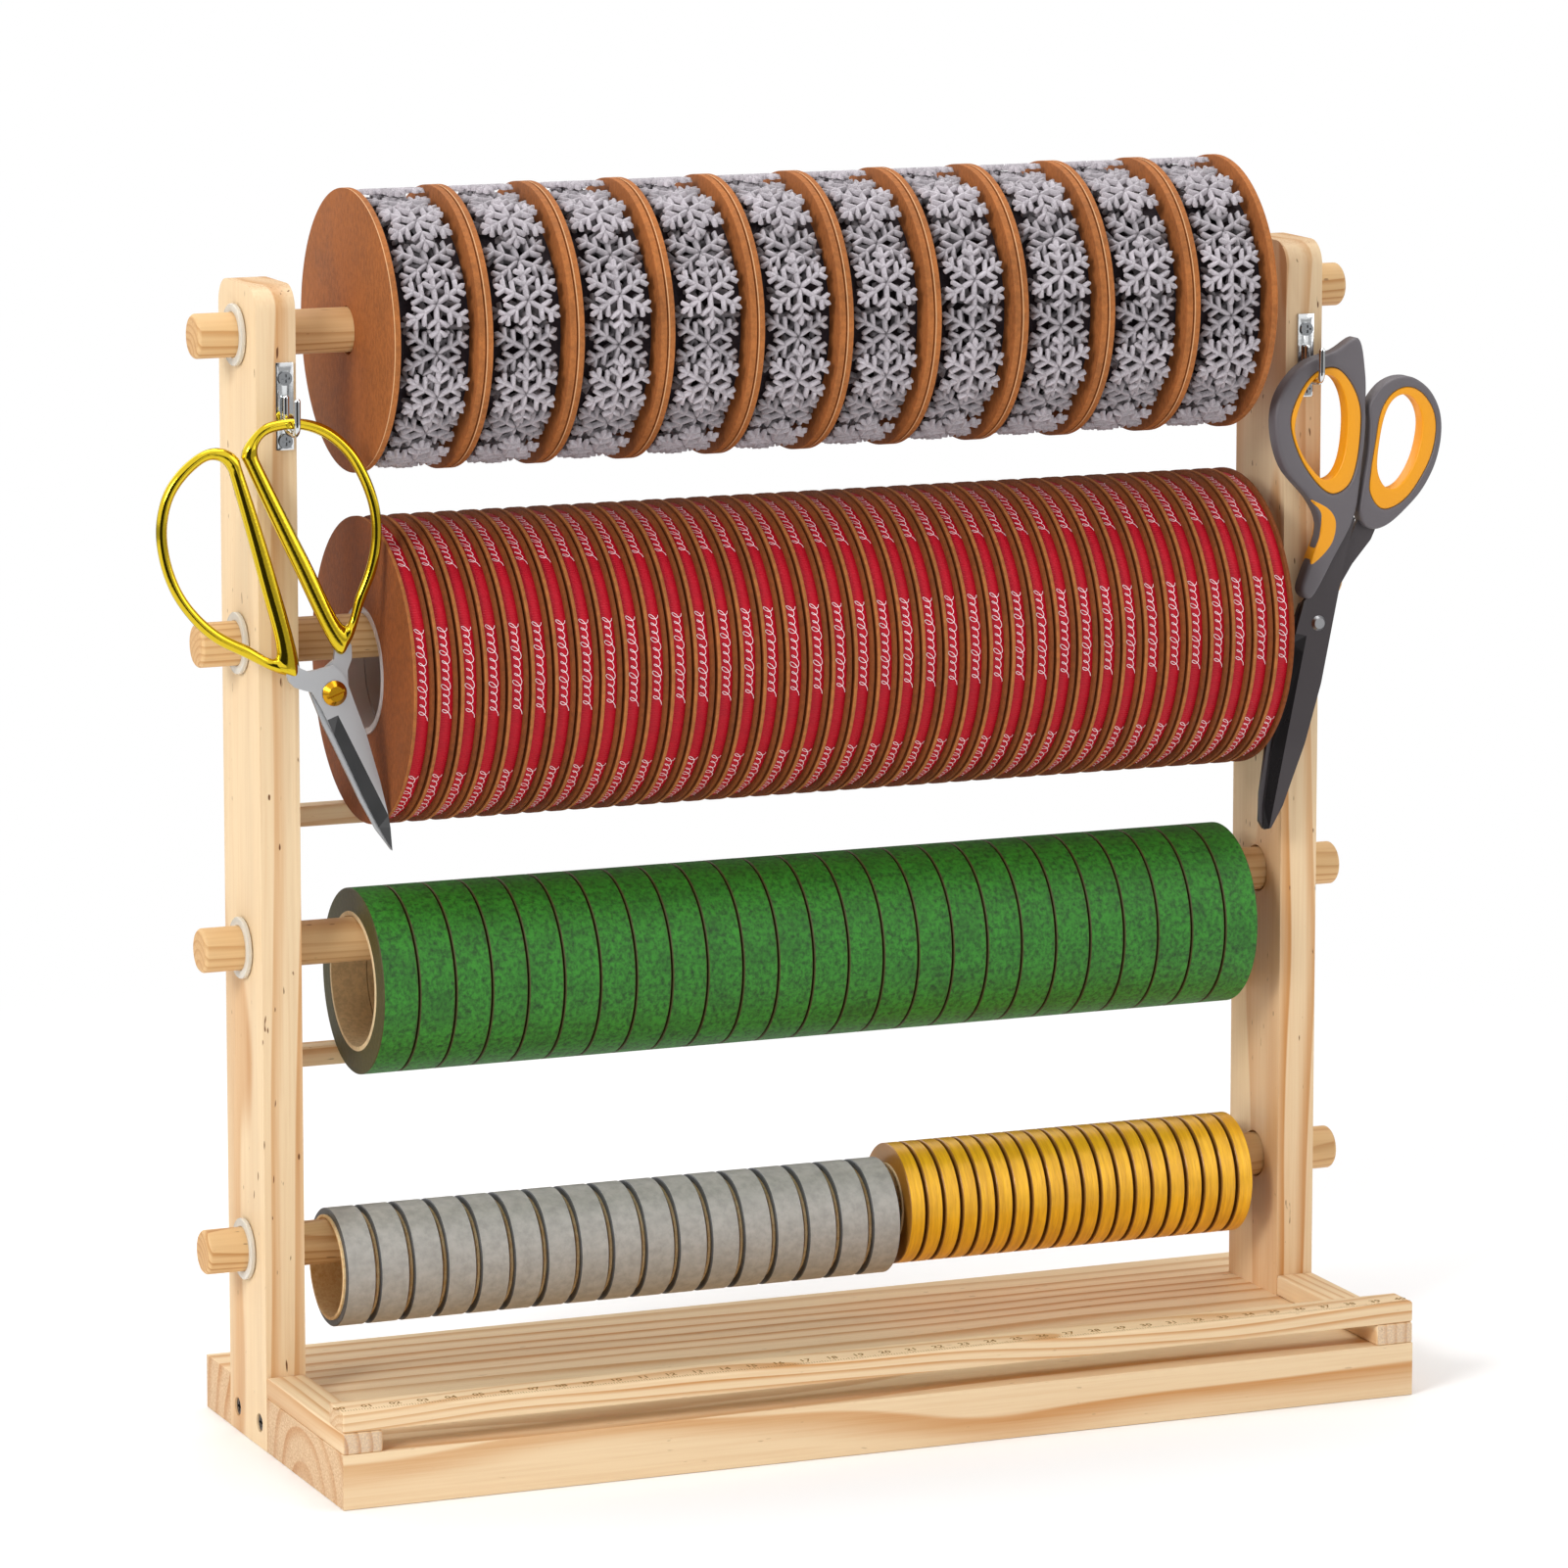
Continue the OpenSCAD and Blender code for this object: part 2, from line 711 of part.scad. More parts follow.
grey_small_outer = [
  [-1.6, 80.6], [0, 86], [3, 90.2], [7.7, 93.2], [13.5, 93.9], [20.8, 90.9], [26.6, 84.6], [29.6, 76],
  [29.9, 65.6], [27.4, 55.8], [23, 47.9], [17.8, 41], [12.8, 37.7], [8.4, 38], [5.2, 42], [4, 49.4],
  [2.6, 63.6], [0.4, 74]
];
grey_small_ring = [
  [5.2, 58], [7.2, 49.8], [14, 45.4], [22, 51.6], [27, 65], [27.2, 76], [24.2, 84], [18, 89.3],
  [11.4, 90.2], [5.9, 86.4], [3.4, 79], [4.2, 68]
];
grey_small_hole = [
  [6.8, 62], [9.8, 55.5], [14.5, 53], [19.2, 57], [21.9, 66.6], [21.2, 78], [17.3, 85], [11.5, 87.4],
  [6.9, 84], [5.3, 76]
];

function grey_front_outline() = [
  [-5.4, 10.6], [-7.8, 6.6], [-8, -grey_blade_l * 0.12], [-6.8, -grey_blade_l * 0.4],
  [-5.2, -grey_blade_l * 0.66], [-2.8, -grey_blade_l * 0.9],
  [-0.6, -grey_blade_l], [1.4, -grey_blade_l * 0.985],
  [3.8, -grey_blade_l * 0.87], [6.4, -grey_blade_l * 0.56], [6.9, -grey_blade_l * 0.27], [5.6, 0.3],
  [4.8, 13.5], [4, 28], [4.2, 40], [0.6, 36], [-3.4, 22]
];
function grey_back_outline() = [
  [7, 42], [15, 42], [13.5, 33.6], [8.6, 23.6], [6, 15.6], [5.2, 0], [5.8, -grey_blade_l * 0.4],
  [3, -grey_blade_l * 0.87], [-0.4, -grey_blade_l],
  [-2.8, -grey_blade_l * 0.97], [-5.2, -grey_blade_l * 0.84],
  [-7.9, -grey_blade_l * 0.55], [-8.8, -grey_blade_l * 0.3], [-9, -grey_blade_l * 0.12], [-8, 5], [-4, 8.4],
  [4.2, 22], [5.4, 34]
];

module grey_blade(y0) {
  standing(y0, grey_blade_t) difference() {
    children();
    circle(r = grey_pivot_d / 2 + run_fit);
  }
}

module grey_back_solid() {
  grey_blade(blade_gap) polygon(grey_back_outline());
}

module grey_front_solid() {
  grey_blade(-blade_gap - grey_blade_t) polygon(grey_front_outline());
}

module grey_body(outline) {
  standing(-grey_handle_t / 2, grey_handle_t) polygon(smooth(outline));
}

module grey_ring(outer, inner) {
  standing(-grey_handle_t / 2, grey_handle_t) difference() {
    polygon(smooth(outer));
    polygon(smooth(inner));
  }
}

module grey_hanging_handle() {
  color("dimgray") place_grey() difference() {
    standing(-grey_handle_t / 2, grey_handle_t) difference() {
      polygon(smooth(grey_main_outer));
      polygon(smooth(grey_main_ring));
      polygon(smooth(grey_inset_outline));
    }
    grey_front_solid();
  }
}

module grey_hanging_grip() {
  color("orange") place_grey() grey_ring(grey_main_ring, grey_main_hole);
}

module grey_thumb_inset() {
  color("orange") place_grey() standing(-grey_handle_t / 2, grey_handle_t) intersection() {
    polygon(smooth(grey_inset_outline));
    polygon(smooth(grey_main_outer));
  }
}

module grey_hanging_blade() {
  color("#3a3840") place_grey() grey_front_solid();
}

module grey_free_handle() {
  color("dimgray") place_grey() difference() {
    grey_ring(grey_small_outer, grey_small_ring);
    grey_back_solid();
  }
}

module grey_free_grip() {
  color("orange") place_grey() grey_ring(grey_small_ring, grey_small_hole);
}

module grey_free_blade() {
  color("#3a3840") place_grey() grey_back_solid();
}

module grey_pivot_screw() {
  front_y = -blade_gap - grey_blade_t;
  back_y = blade_gap + grey_blade_t + air;
  color("gray") place_grey() rotate([90, 0, 0]) {
    translate([0, 0, -back_y]) cylinder(d = grey_pivot_d, h = back_y - front_y);
    translate([0, 0, -back_y - 1]) cylinder(d = grey_head_d, h = 1);
    translate([0, 0, -front_y]) cylinder(d1 = grey_head_d, d2 = grey_head_d * 0.7, h = 1);
  }
}

base_board();
left_upright();
right_upright();
left_side_rail();
right_side_rail();
ruler_rail();
upper_cross_bar();
lower_cross_bar();
upright_bolts();
cross_bar_screws();
left_hook_plate();
right_hook_plate();
left_hook();
right_hook();
hook_plate_screws();
stop_ring_1();
stop_ring_2();
stop_ring_3();
stop_ring_4();
dowel_rod_1();
dowel_rod_2();
dowel_rod_3();
dowel_rod_4();
trim_spools();
trim_windings();
ribbon_spools();
ribbon_hubs();
ribbon_windings();
green_cores();
green_tapes();
grey_cores();
grey_tapes();
gold_cores();
gold_ribbons();
gold_hanging_handle();
gold_hanging_blade();
gold_free_handle();
gold_free_blade();
gold_pivot_screw();
grey_hanging_handle();
grey_hanging_grip();
grey_thumb_inset();
grey_hanging_blade();
grey_free_handle();
grey_free_grip();
grey_free_blade();
grey_pivot_screw();
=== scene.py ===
import json
import math

import bmesh
import bpy
from mathutils import Matrix, Vector


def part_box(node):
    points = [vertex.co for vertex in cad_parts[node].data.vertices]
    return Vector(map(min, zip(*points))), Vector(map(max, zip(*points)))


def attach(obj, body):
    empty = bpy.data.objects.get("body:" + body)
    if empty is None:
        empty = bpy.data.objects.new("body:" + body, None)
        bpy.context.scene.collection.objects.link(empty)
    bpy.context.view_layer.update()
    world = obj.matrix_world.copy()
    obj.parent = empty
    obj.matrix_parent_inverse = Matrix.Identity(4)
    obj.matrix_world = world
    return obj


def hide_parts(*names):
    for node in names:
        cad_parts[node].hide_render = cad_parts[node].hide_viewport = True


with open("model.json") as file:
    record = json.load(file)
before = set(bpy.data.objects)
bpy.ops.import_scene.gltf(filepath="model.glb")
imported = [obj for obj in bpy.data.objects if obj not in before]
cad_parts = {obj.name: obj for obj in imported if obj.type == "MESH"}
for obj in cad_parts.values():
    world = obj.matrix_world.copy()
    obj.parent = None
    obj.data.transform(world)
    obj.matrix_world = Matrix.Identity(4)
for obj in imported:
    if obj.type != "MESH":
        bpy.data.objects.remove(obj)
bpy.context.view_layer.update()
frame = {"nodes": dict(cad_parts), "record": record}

bl_info = {
    "name": "Ribbon and Tape Rack",
    "version": (1, 0, 0),
    "blender": (4, 5, 0),
    "location": "View3D > Sidebar > Ribbon Rack",
    "description": "Builds a wooden ribbon and tape rack with its rolls and scissors",
    "category": "Object",
}

MM = 0.001


def srgb(code):
    """A hex colour as linear red, green and blue."""
    parts = [int(code[i:i + 2], 16) / 255 for i in (1, 3, 5)]
    return tuple(c / 12.92 if c <= 0.04045 else ((c + 0.055) / 1.055) ** 2.4 for c in parts)


def shade(colour, amount):
    """A colour made darker or lighter."""
    return tuple(min(1, c * amount) for c in colour)


def colour_prop(name, text, code):
    return bpy.props.FloatVectorProperty(
        name=name, description=text, subtype="COLOR", size=3, min=0, max=1, default=srgb(code))


def length_prop(name, text, value_mm):
    return bpy.props.FloatProperty(
        name=name, description=text, subtype="DISTANCE", unit="LENGTH", min=0, default=value_mm * MM)


def middle(node):
    low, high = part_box(node)
    return (low + high) / 2


# ---- Settings ----

class RackStand(bpy.types.PropertyGroup):
    wood_light: colour_prop("Pale wood", "Early wood of the pine boards", "#ecd1a9")
    wood_dark: colour_prop("Ring wood", "Late wood lines of the pine boards", "#c98f52")
    fleck: colour_prop("Flecks", "Dark resin flecks in the pine", "#6f4420")
    rod_light: colour_prop("Rod wood", "Pale tone of the dowel rods", "#e0ba86")
    rod_dark: colour_prop("Rod lines", "Dark lines of the dowel rods", "#bb8448")
    edge: length_prop("Eased edge", "Rounding of the boards' edges", 0.9)
    ink: colour_prop("Ruler ink", "Burnt-in ticks and numbers", "#8a6420")
    tick: length_prop("Tick length", "Length of a short tick", 1.3)
    digit: length_prop("Number height", "Height of the ruler's numbers", 3.3)


class RackRolls(bpy.types.PropertyGroup):
    kraft: colour_prop("Kraft card", "Card of the spool flanges", "#b06c38")
    trim: colour_prop("Trim", "Felt of the snowflake trim", "#c3bcc2")
    # Painted shade: a near-black layer stands for the shade deep between the wound snowflakes.
    trim_deep_shade: colour_prop("Trim deep shade", "Shadowed ground under the snowflakes", "#17141c")
    flake: length_prop("Snowflake size", "Reach of a snowflake's arm", 13.2)
    red: colour_prop("Red ribbon", "Colour of the grosgrain ribbon", "#bd0222")
    print: colour_prop("Curl print", "Colour of the curls printed on the ribbon", "#ffdfe6")
    green: colour_prop("Green crepe", "Colour of the creped tape", "#205f14")
    green_edge: colour_prop("Green edge", "Edge of the creped tape", "#423d12")
    core: colour_prop("Paper core", "Paper tube inside the tapes", "#ecd3a6")
    grey: colour_prop("Grey tape", "Colour of the grey tape", "#adaaa4")
    gold: colour_prop("Gold satin", "Colour of the satin ribbon", "#e6a71e")
    hub: colour_prop("Clear hub", "Tint of the clear plastic", "#f4e6e2")


class RackScissors(bpy.types.PropertyGroup):
    plating: colour_prop("Gold plating", "Plated handles", "#d8bb2c")
    steel: colour_prop("Steel", "Ground blade steel", "#c3c4c6")
    screw: colour_prop("Brass screw", "Pivot screw of the gold scissors", "#c9921f")
    grip: colour_prop("Grey grip", "Hard plastic of the grey handles", "#625d61")
    insert: colour_prop("Yellow insert", "Soft rubber in the grey handles", "#ee9f00")
    coating: colour_prop("Blade coating", "Dark coating of the grey scissors' blades", "#4a4547")
    wire: colour_prop("Nickel wire", "Hooks and their plates", "#d5d7d8")


class RackStage(bpy.types.PropertyGroup):
    lens: bpy.props.FloatProperty(name="Lens", description="Focal length in mm", default=171.5, min=20)
    turn: bpy.props.FloatProperty(
        name="Turn", description="Camera turn from straight ahead", subtype="ANGLE",
        default=math.radians(22.414))
    tip: bpy.props.FloatProperty(
        name="Tip", description="Camera tip below level", subtype="ANGLE", default=math.radians(8.553))
    eye: bpy.props.FloatVectorProperty(
        name="Eye", description="Camera place", subtype="TRANSLATION", default=(-0.9954, -2.3877, 0.6815))
    floor: colour_prop("Floor", "Pale floor", "#ffffff")


# ---- Node helpers ----

def add(tree, kind, inputs=None, **settings):
    """Adds a node; inputs maps a socket's name or number to a value or to another socket."""
    made = tree.nodes.new(kind)
    for key, value in settings.items():
        setattr(made, key, value)
    for key, value in (inputs or {}).items():
        socket = made.inputs[key]
        if isinstance(value, bpy.types.NodeSocket):
            tree.links.new(value, socket)
        elif socket.type == "RGBA" and len(value) == 3:
            socket.default_value = (*value, 1)
        else:
            socket.default_value = value
    return made


def maths(tree, operation, *values, clamp=False):
    return add(tree, "ShaderNodeMath", dict(enumerate(values)), operation=operation,
        use_clamp=clamp).outputs[0]


def times(tree, *values):
    return maths(tree, "MULTIPLY", *values)


def plus(tree, *values, clamp=False):
    return maths(tree, "ADD", *values, clamp=clamp)


def minus(tree, *values):
    return maths(tree, "SUBTRACT", *values)


def vector_maths(tree, operation, *values):
    made = add(tree, "ShaderNodeVectorMath", dict(enumerate(values)), operation=operation)
    return made.outputs["Value" if operation in ("LENGTH", "DOT_PRODUCT") else "Vector"]


def mix(tree, factor, a, b, blend="MIX"):
    made = add(tree, "ShaderNodeMix", data_type="RGBA", blend_type=blend)
    for socket, value in ((made.inputs[0], factor), (made.inputs[6], a), (made.inputs[7], b)):
        if isinstance(value, bpy.types.NodeSocket):
            tree.links.new(value, socket)
        else:
            socket.default_value = (*value, 1) if socket.type == "RGBA" and len(value) == 3 else value
    return made.outputs[2]


def ramp(tree, value, low, high, to_low=0.0, to_high=1.0):
    """Maps low..high smoothly onto to_low..to_high."""
    return add(tree, "ShaderNodeMapRange", {
        "Value": value, "From Min": low, "From Max": high, "To Min": to_low, "To Max": to_high,
    }, interpolation_type="SMOOTHSTEP").outputs[0]


def noise(tree, vector, scale, detail=3.0, roughness=0.5):
    return add(tree, "ShaderNodeTexNoise", {
        "Vector": vector, "Scale": scale, "Detail": detail, "Roughness": roughness}).outputs["Fac"]


def stretched(tree, vector, scale):
    return add(tree, "ShaderNodeMapping", {"Vector": vector, "Scale": scale}).outputs[0]


def group(name, inputs, outputs, build):
    """A shader node group with named sockets, made once."""
    tree = bpy.data.node_groups.new(name, "ShaderNodeTree")
    for label, kind, value in inputs:
        made = tree.interface.new_socket(label, in_out="INPUT", socket_type=kind)
        made.default_value = (*value, 1) if kind == "NodeSocketColor" else value
    for label, kind in outputs:
        tree.interface.new_socket(label, in_out="OUTPUT", socket_type=kind)
    source = tree.nodes.new("NodeGroupInput")
    drain = tree.nodes.new("NodeGroupOutput")
    for label, socket in build(tree, source.outputs).items():
        tree.links.new(socket, drain.inputs[label])
    return tree


def use(tree, group_tree, **inputs):
    made = tree.nodes.new("ShaderNodeGroup")
    made.node_tree = group_tree
    for key, value in inputs.items():
        socket = made.inputs[key.replace("_", " ")]
        if isinstance(value, bpy.types.NodeSocket):
            tree.links.new(value, socket)
        else:
            socket.default_value = (*value, 1) if socket.type == "RGBA" and len(value) == 3 else value
    return made.outputs


FLOAT, COLOUR, VECTOR = "NodeSocketFloat", "NodeSocketColor", "NodeSocketVector"


def wood_group():
    """Growth rings round a pith line, fine fibres, flecks and end grain; the grain runs along X."""
    def build(t, i):
        place = vector_maths(t, "SUBTRACT", i["Vector"], i["Pith"])
        across = vector_maths(t, "MULTIPLY", place, (0.0, 1.0, 1.0))
        sway = noise(t, stretched(t, i["Vector"], (3.0, 14.0, 14.0)), 1.0, 2.0)
        radius = plus(t, vector_maths(t, "LENGTH", across), times(t, sway, 0.030))
        ring = maths(t, "FRACT", maths(t, "DIVIDE", radius, i["Ring"]))
        late = times(t, ramp(t, ring, 0.45, 0.93), ramp(t, ring, 1.0, 0.93))
        broad = noise(t, stretched(t, i["Vector"], (2.0, 30.0, 30.0)), 1.0, 2.0)
        fibre = noise(t, stretched(t, i["Vector"], (22.0, 1100.0, 1100.0)), 1.0, 3.0)
        dots = noise(t, stretched(t, i["Vector"], (150.0, 620.0, 620.0)), 1.0, 1.0)
        fleck = times(t, ramp(t, dots, 0.735, 0.79), i["Flecks"])
        tone = times(t, late, ramp(t, broad, 0.25, 0.75, 0.35, 1.0))
        tone = plus(t, tone, ramp(t, fibre, 0.35, 0.75, 0.0, 0.16), clamp=True)
        colour = mix(t, tone, i["Light"], i["Dark"])
        colour = mix(t, ramp(t, broad, 0.5, 0.9, 0.0, 0.35), colour, i["Dark"])
        end = ramp(t, maths(t, "ABSOLUTE", vector_maths(t, "DOT_PRODUCT", i["Normal"], (1.0, 0.0, 0.0))),
            0.8, 0.95)
        pores = noise(t, i["Vector"], 1500.0, 2.0)
        colour = mix(t, times(t, end, ramp(t, pores, 0.3, 0.7, 0.15, 0.5)), colour, i["End"])
        colour = mix(t, fleck, colour, i["Fleck"])
        rough = ramp(t, plus(t, fibre, tone), 0.3, 1.4, 0.66, 0.48)
        height = minus(t, times(t, fibre, 0.6), times(t, fleck, 0.8))
        return {"Colour": colour, "Roughness": rough, "Height": height}
    return group("Sawn wood", [
        ("Vector", VECTOR, (0, 0, 0)), ("Normal", VECTOR, (0, 0, 0)), ("Pith", VECTOR, (0, 0, -0.05)),
        ("Ring", FLOAT, 0.006), ("Flecks", FLOAT, 0.5), ("Light", COLOUR, (1, 1, 1)),
        ("Dark", COLOUR, (0, 0, 0)),
        ("Fleck", COLOUR, (0, 0, 0)), ("End", COLOUR, (0.5, 0.3, 0.2)),
    ], [("Colour", COLOUR), ("Roughness", FLOAT), ("Height", FLOAT)], build)


def card_group():
    """Fibrous card or paper: cloudy tone, fine fibres and dark specks."""
    def build(t, i):
        cloud = noise(t, i["Vector"], 38.0, 4.0, 0.6)
        fibre = noise(t, stretched(t, i["Vector"], (520.0, 760.0, 420.0)), 1.0, 4.0, 0.75)
        specks = ramp(t, noise(t, i["Vector"], 900.0, 1.0), 0.70, 0.78, 0.0, 0.6)
        tone = plus(t, ramp(t, cloud, 0.3, 0.75, 0.0, 0.4), ramp(t, fibre, 0.35, 0.65, 0.0, 0.5), clamp=True)
        colour = mix(t, tone, i["Light"], i["Dark"])
        colour = mix(t, specks, colour, i["Dark"])
        return {"Colour": colour, "Height": fibre, "Roughness": ramp(t, cloud, 0.2, 0.8, 0.82, 0.68)}
    return group("Fibrous card", [
        ("Vector", VECTOR, (0, 0, 0)), ("Light", COLOUR, (1, 1, 1)), ("Dark", COLOUR, (0, 0, 0)),
    ], [("Colour", COLOUR), ("Height", FLOAT), ("Roughness", FLOAT)], build)


def roll_group():
    """Where a point is on a row of rolls along X: its angle, its place across its roll, and a side mask."""
    def build(t, i):
        place = vector_maths(t, "SUBTRACT", i["Vector"], i["Start"])
        part = add(t, "ShaderNodeSeparateXYZ", {0: place}).outputs
        angle = maths(t, "ARCTAN2", part["Y"], part["Z"])
        unit = maths(t, "FRACT", maths(t, "DIVIDE", part["X"], i["Pitch"]))
        side = ramp(t, maths(t, "ABSOLUTE", vector_maths(t, "DOT_PRODUCT", i["Normal"], (1.0, 0.0, 0.0))),
            0.6, 0.8)
        return {"Angle": angle, "Across": unit, "Side": side}
    return group("Place on a roll", [
        ("Vector", VECTOR, (0, 0, 0)), ("Normal", VECTOR, (0, 0, 0)), ("Start", VECTOR, (0, 0, 0)),
        ("Pitch", FLOAT, 0.01),
    ], [("Angle", FLOAT), ("Across", FLOAT), ("Side", FLOAT)], build)


def wear_group():
    """Fine handling marks: breaks up a colour and a roughness a little."""
    def build(t, i):
        smear = noise(t, i["Vector"], 45.0, 4.0, 0.6)
        scratch = noise(t, stretched(t, i["Vector"], (900.0, 60.0, 900.0)), 1.0, 2.0)
        colour = mix(t, times(t, ramp(t, smear, 0.4, 0.7), i["Amount"]), i["Colour"], (1.0, 1.0, 1.0),
                     "MULTIPLY")
        rough = plus(t, i["Roughness"], times(t, minus(t, smear, 0.5), i["Amount"]))
        return {"Colour": colour, "Roughness": rough, "Height": scratch}
    return group("Handling marks", [
        ("Vector", VECTOR, (0, 0, 0)), ("Colour", COLOUR, (1, 1, 1)), ("Roughness", FLOAT, 0.3),
        ("Amount", FLOAT, 0.2),
    ], [("Colour", COLOUR), ("Roughness", FLOAT), ("Height", FLOAT)], build)


GROUPS = {}


def shared(name):
    makers = {"wood": wood_group, "card": card_group, "roll": roll_group, "wear": wear_group}
    if name not in GROUPS:
        GROUPS[name] = makers[name]()
    return GROUPS[name]


def material(name, build, **sockets):
    """A Principled material; build(tree, coordinates) gives what feeds its sockets, "Bump" for a height."""
    made = bpy.data.materials.new(name)
    made.use_nodes = True
    t = made.node_tree
    shader = t.nodes["Principled BSDF"]
    for key, value in sockets.items():
        socket = shader.inputs[key.replace("_", " ")]
        socket.default_value = (*value, 1) if socket.type == "RGBA" and len(value) == 3 else value
    feeds = build(t, t.nodes.new("ShaderNodeTexCoord").outputs)
    height, distance = feeds.pop("Bump", None), feeds.pop("Depth", 0.0001)
    if height:
        bump = add(t, "ShaderNodeBump", {"Height": height, "Distance": distance, "Strength": 1.0})
        t.links.new(bump.outputs[0], shader.inputs["Normal"])
    for key, value in feeds.items():
        t.links.new(value, shader.inputs[key])
    return made


def finish(out, depth):
    """What a shared effect's outputs feed in a material."""
    return {"Base Color": out["Colour"], "Roughness": out["Roughness"], "Bump": out["Height"],
        "Depth": depth}


def wood(name, along, pith, light, painted_shade, fleck, ring=0.0065, flecks=0.5, end="#b5824e"):
    """Wood whose grain runs along the X, Y or Z axis."""
    turn = {"X": (0, 0, 0), "Y": (0, 0, -math.pi / 2), "Z": (0, math.pi / 2, 0)}[along]

    def build(t, coords):
        turned = [add(t, "ShaderNodeMapping", {"Vector": coords[label], "Rotation": turn}).outputs[0]
                  for label in ("Object", "Normal")]
        out = use(t, shared("wood"), Vector=turned[0], Normal=turned[1], Pith=pith, Ring=ring, Flecks=flecks,
                  Light=light, Dark=painted_shade, Fleck=fleck, End=srgb(end))
        return finish(out, 0.00012)
    return material(name, build, Specular_IOR_Level=0.35)


def marked(name, colour, roughness, amount=0.15, depth=0.00002, **sockets):
    """Plastic or metal with handling marks."""
    def build(t, coords):
        out = use(t, shared("wear"), Vector=coords["Object"], Colour=colour, Roughness=roughness,
            Amount=amount)
        return finish(out, depth)
    return material(name, build, **sockets)


# ---- Mesh helpers ----

def smooth_curve(points, steps=8, closed=True):
    """A Catmull-Rom curve through points of any size."""
    count = len(points)
    spans = count if closed else count - 1
    out = []
    for i in range(spans):
        p = [points[(i + k) % count if closed else min(max(i + k, 0), count - 1)] for k in (-1, 0, 1, 2)]
        for s in range(steps):
            t = s / steps
            out.append(tuple(
                b + 0.5 * t * (c - a + t * (2 * a - 5 * b + 4 * c - d + t * (3 * (b - c) + d - a)))
                for a, b, c, d in zip(*p)))
    if not closed:
        out.append(tuple(points[-1]))
    return out


def new_object(name, verts, faces, smooth=True):
    mesh = bpy.data.meshes.new(name)
    mesh.from_pydata([tuple(v) for v in verts], [], faces)
    mesh.validate()
    for face in mesh.polygons:
        face.use_smooth = smooth
    made = bpy.data.objects.new(name, mesh)
    bpy.context.scene.collection.objects.link(made)
    return made


def tidy(made, angle=None):
    """Merges doubles, points the faces outwards and, with an angle, marks sharper edges."""
    bm = bmesh.new()
    bm.from_mesh(made.data)
    bmesh.ops.remove_doubles(bm, verts=bm.verts, dist=1e-7)
    bmesh.ops.recalc_face_normals(bm, faces=bm.faces)
    if angle:
        for edge in bm.edges:
            edge.smooth = len(edge.link_faces) == 2 and edge.calc_face_angle(0) < math.radians(angle)
    bm.to_mesh(made.data)
    bm.free()
    return made


def apply_modifiers(made):
    """Replaces the mesh with its evaluated shape and drops the modifiers."""
    graph = bpy.context.evaluated_depsgraph_get()
    shape = bpy.data.meshes.new_from_object(made.evaluated_get(graph), depsgraph=graph)
    made.modifiers.clear()
    made.data = shape
    return made


def settle(made, body, replaced=(), materials=()):
    """Gives a finished piece its materials and body, and hides the CAD nodes it stands for."""
    if materials:
        made.data.materials.clear()
        for m in materials:
            made.data.materials.append(m)
    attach(made, body)
    if replaced:
        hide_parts(*replaced)
    return made


def dress(node, *materials):
    """Gives a CAD node a better material."""
    made = frame["nodes"][node]
    made.data.materials.clear()
    for m in materials:
        made.data.materials.append(m)


def eased_copy(node, name, edge, body, mat):
    """A copy of a board with eased edges, in place of its CAD node."""
    made = bpy.data.objects.new(name, frame["nodes"][node].data.copy())
    bpy.context.scene.collection.objects.link(made)
    bm = bmesh.new()
    bm.from_mesh(made.data)
    bmesh.ops.remove_doubles(bm, verts=bm.verts, dist=1e-6)
    bmesh.ops.dissolve_limit(bm, angle_limit=math.radians(0.6), verts=bm.verts, edges=bm.edges)
    bm.to_mesh(made.data)
    bm.free()
    if made.data.has_custom_normals:
        made.data.normals_split_custom_set([(0, 0, 0)] * len(made.data.loops))
    cut = made.modifiers.new("Eased edges", "BEVEL")
    cut.width = edge
    cut.segments = 3
    cut.limit_method = "ANGLE"
    cut.angle_limit = math.radians(40)
    cut.harden_normals = False
    apply_modifiers(made)
    for face in made.data.polygons:
        face.use_smooth = True
    tidy(made, 25)
    return settle(made, body, [node], [mat])


def lathe(profile, segments=96):
    """A ring turned about the X axis from a closed loop of (x, radius) points, in millimetres."""
    count = len(profile)
    verts = [(x * MM, r * MM * math.sin(2 * math.pi * s / segments),
        r * MM * math.cos(2 * math.pi * s / segments))
             for s in range(segments) for x, r in profile]
    faces = [(s * count + i, s * count + (i + 1) % count,
              (s + 1) % segments * count + (i + 1) % count, (s + 1) % segments * count + i)
             for s in range(segments) for i in range(count)]
    return verts, faces


def joined(*shapes):
    verts, faces = [], []
    for more_verts, more_faces in shapes:
        start = len(verts)
        verts += more_verts
        faces += [tuple(start + k for k in face) for face in more_faces]
    return verts, faces


def ring(x0, x1, inner, outer, soft=0.2, crown=0.0):
    """Profile of a ring between x0 and x1 with softened outer edges, closed as a loop."""
    mid = (x0 + x1) / 2
    return [(x0, inner), (x0, outer - soft), (x0 + soft * 0.3, outer - soft * 0.3), (x0 + soft, outer),
            (mid, outer + crown), (x1 - soft, outer), (x1 - soft * 0.3, outer - soft * 0.3),
            (x1, outer - soft),
            (x1, inner)]


# ---- Geometry Nodes ----

def geometry_tree(name, inputs):
    tree = bpy.data.node_groups.new(name, "GeometryNodeTree")
    tree.interface.new_socket("Geometry", in_out="INPUT", socket_type="NodeSocketGeometry")
    for label, kind, value in inputs:
        made = tree.interface.new_socket(label, in_out="INPUT", socket_type=kind)
        if value is not None:
            made.default_value = value
    tree.interface.new_socket("Geometry", in_out="OUTPUT", socket_type="NodeSocketGeometry")
    return tree, tree.nodes.new("NodeGroupInput").outputs, tree.nodes.new("NodeGroupOutput").inputs


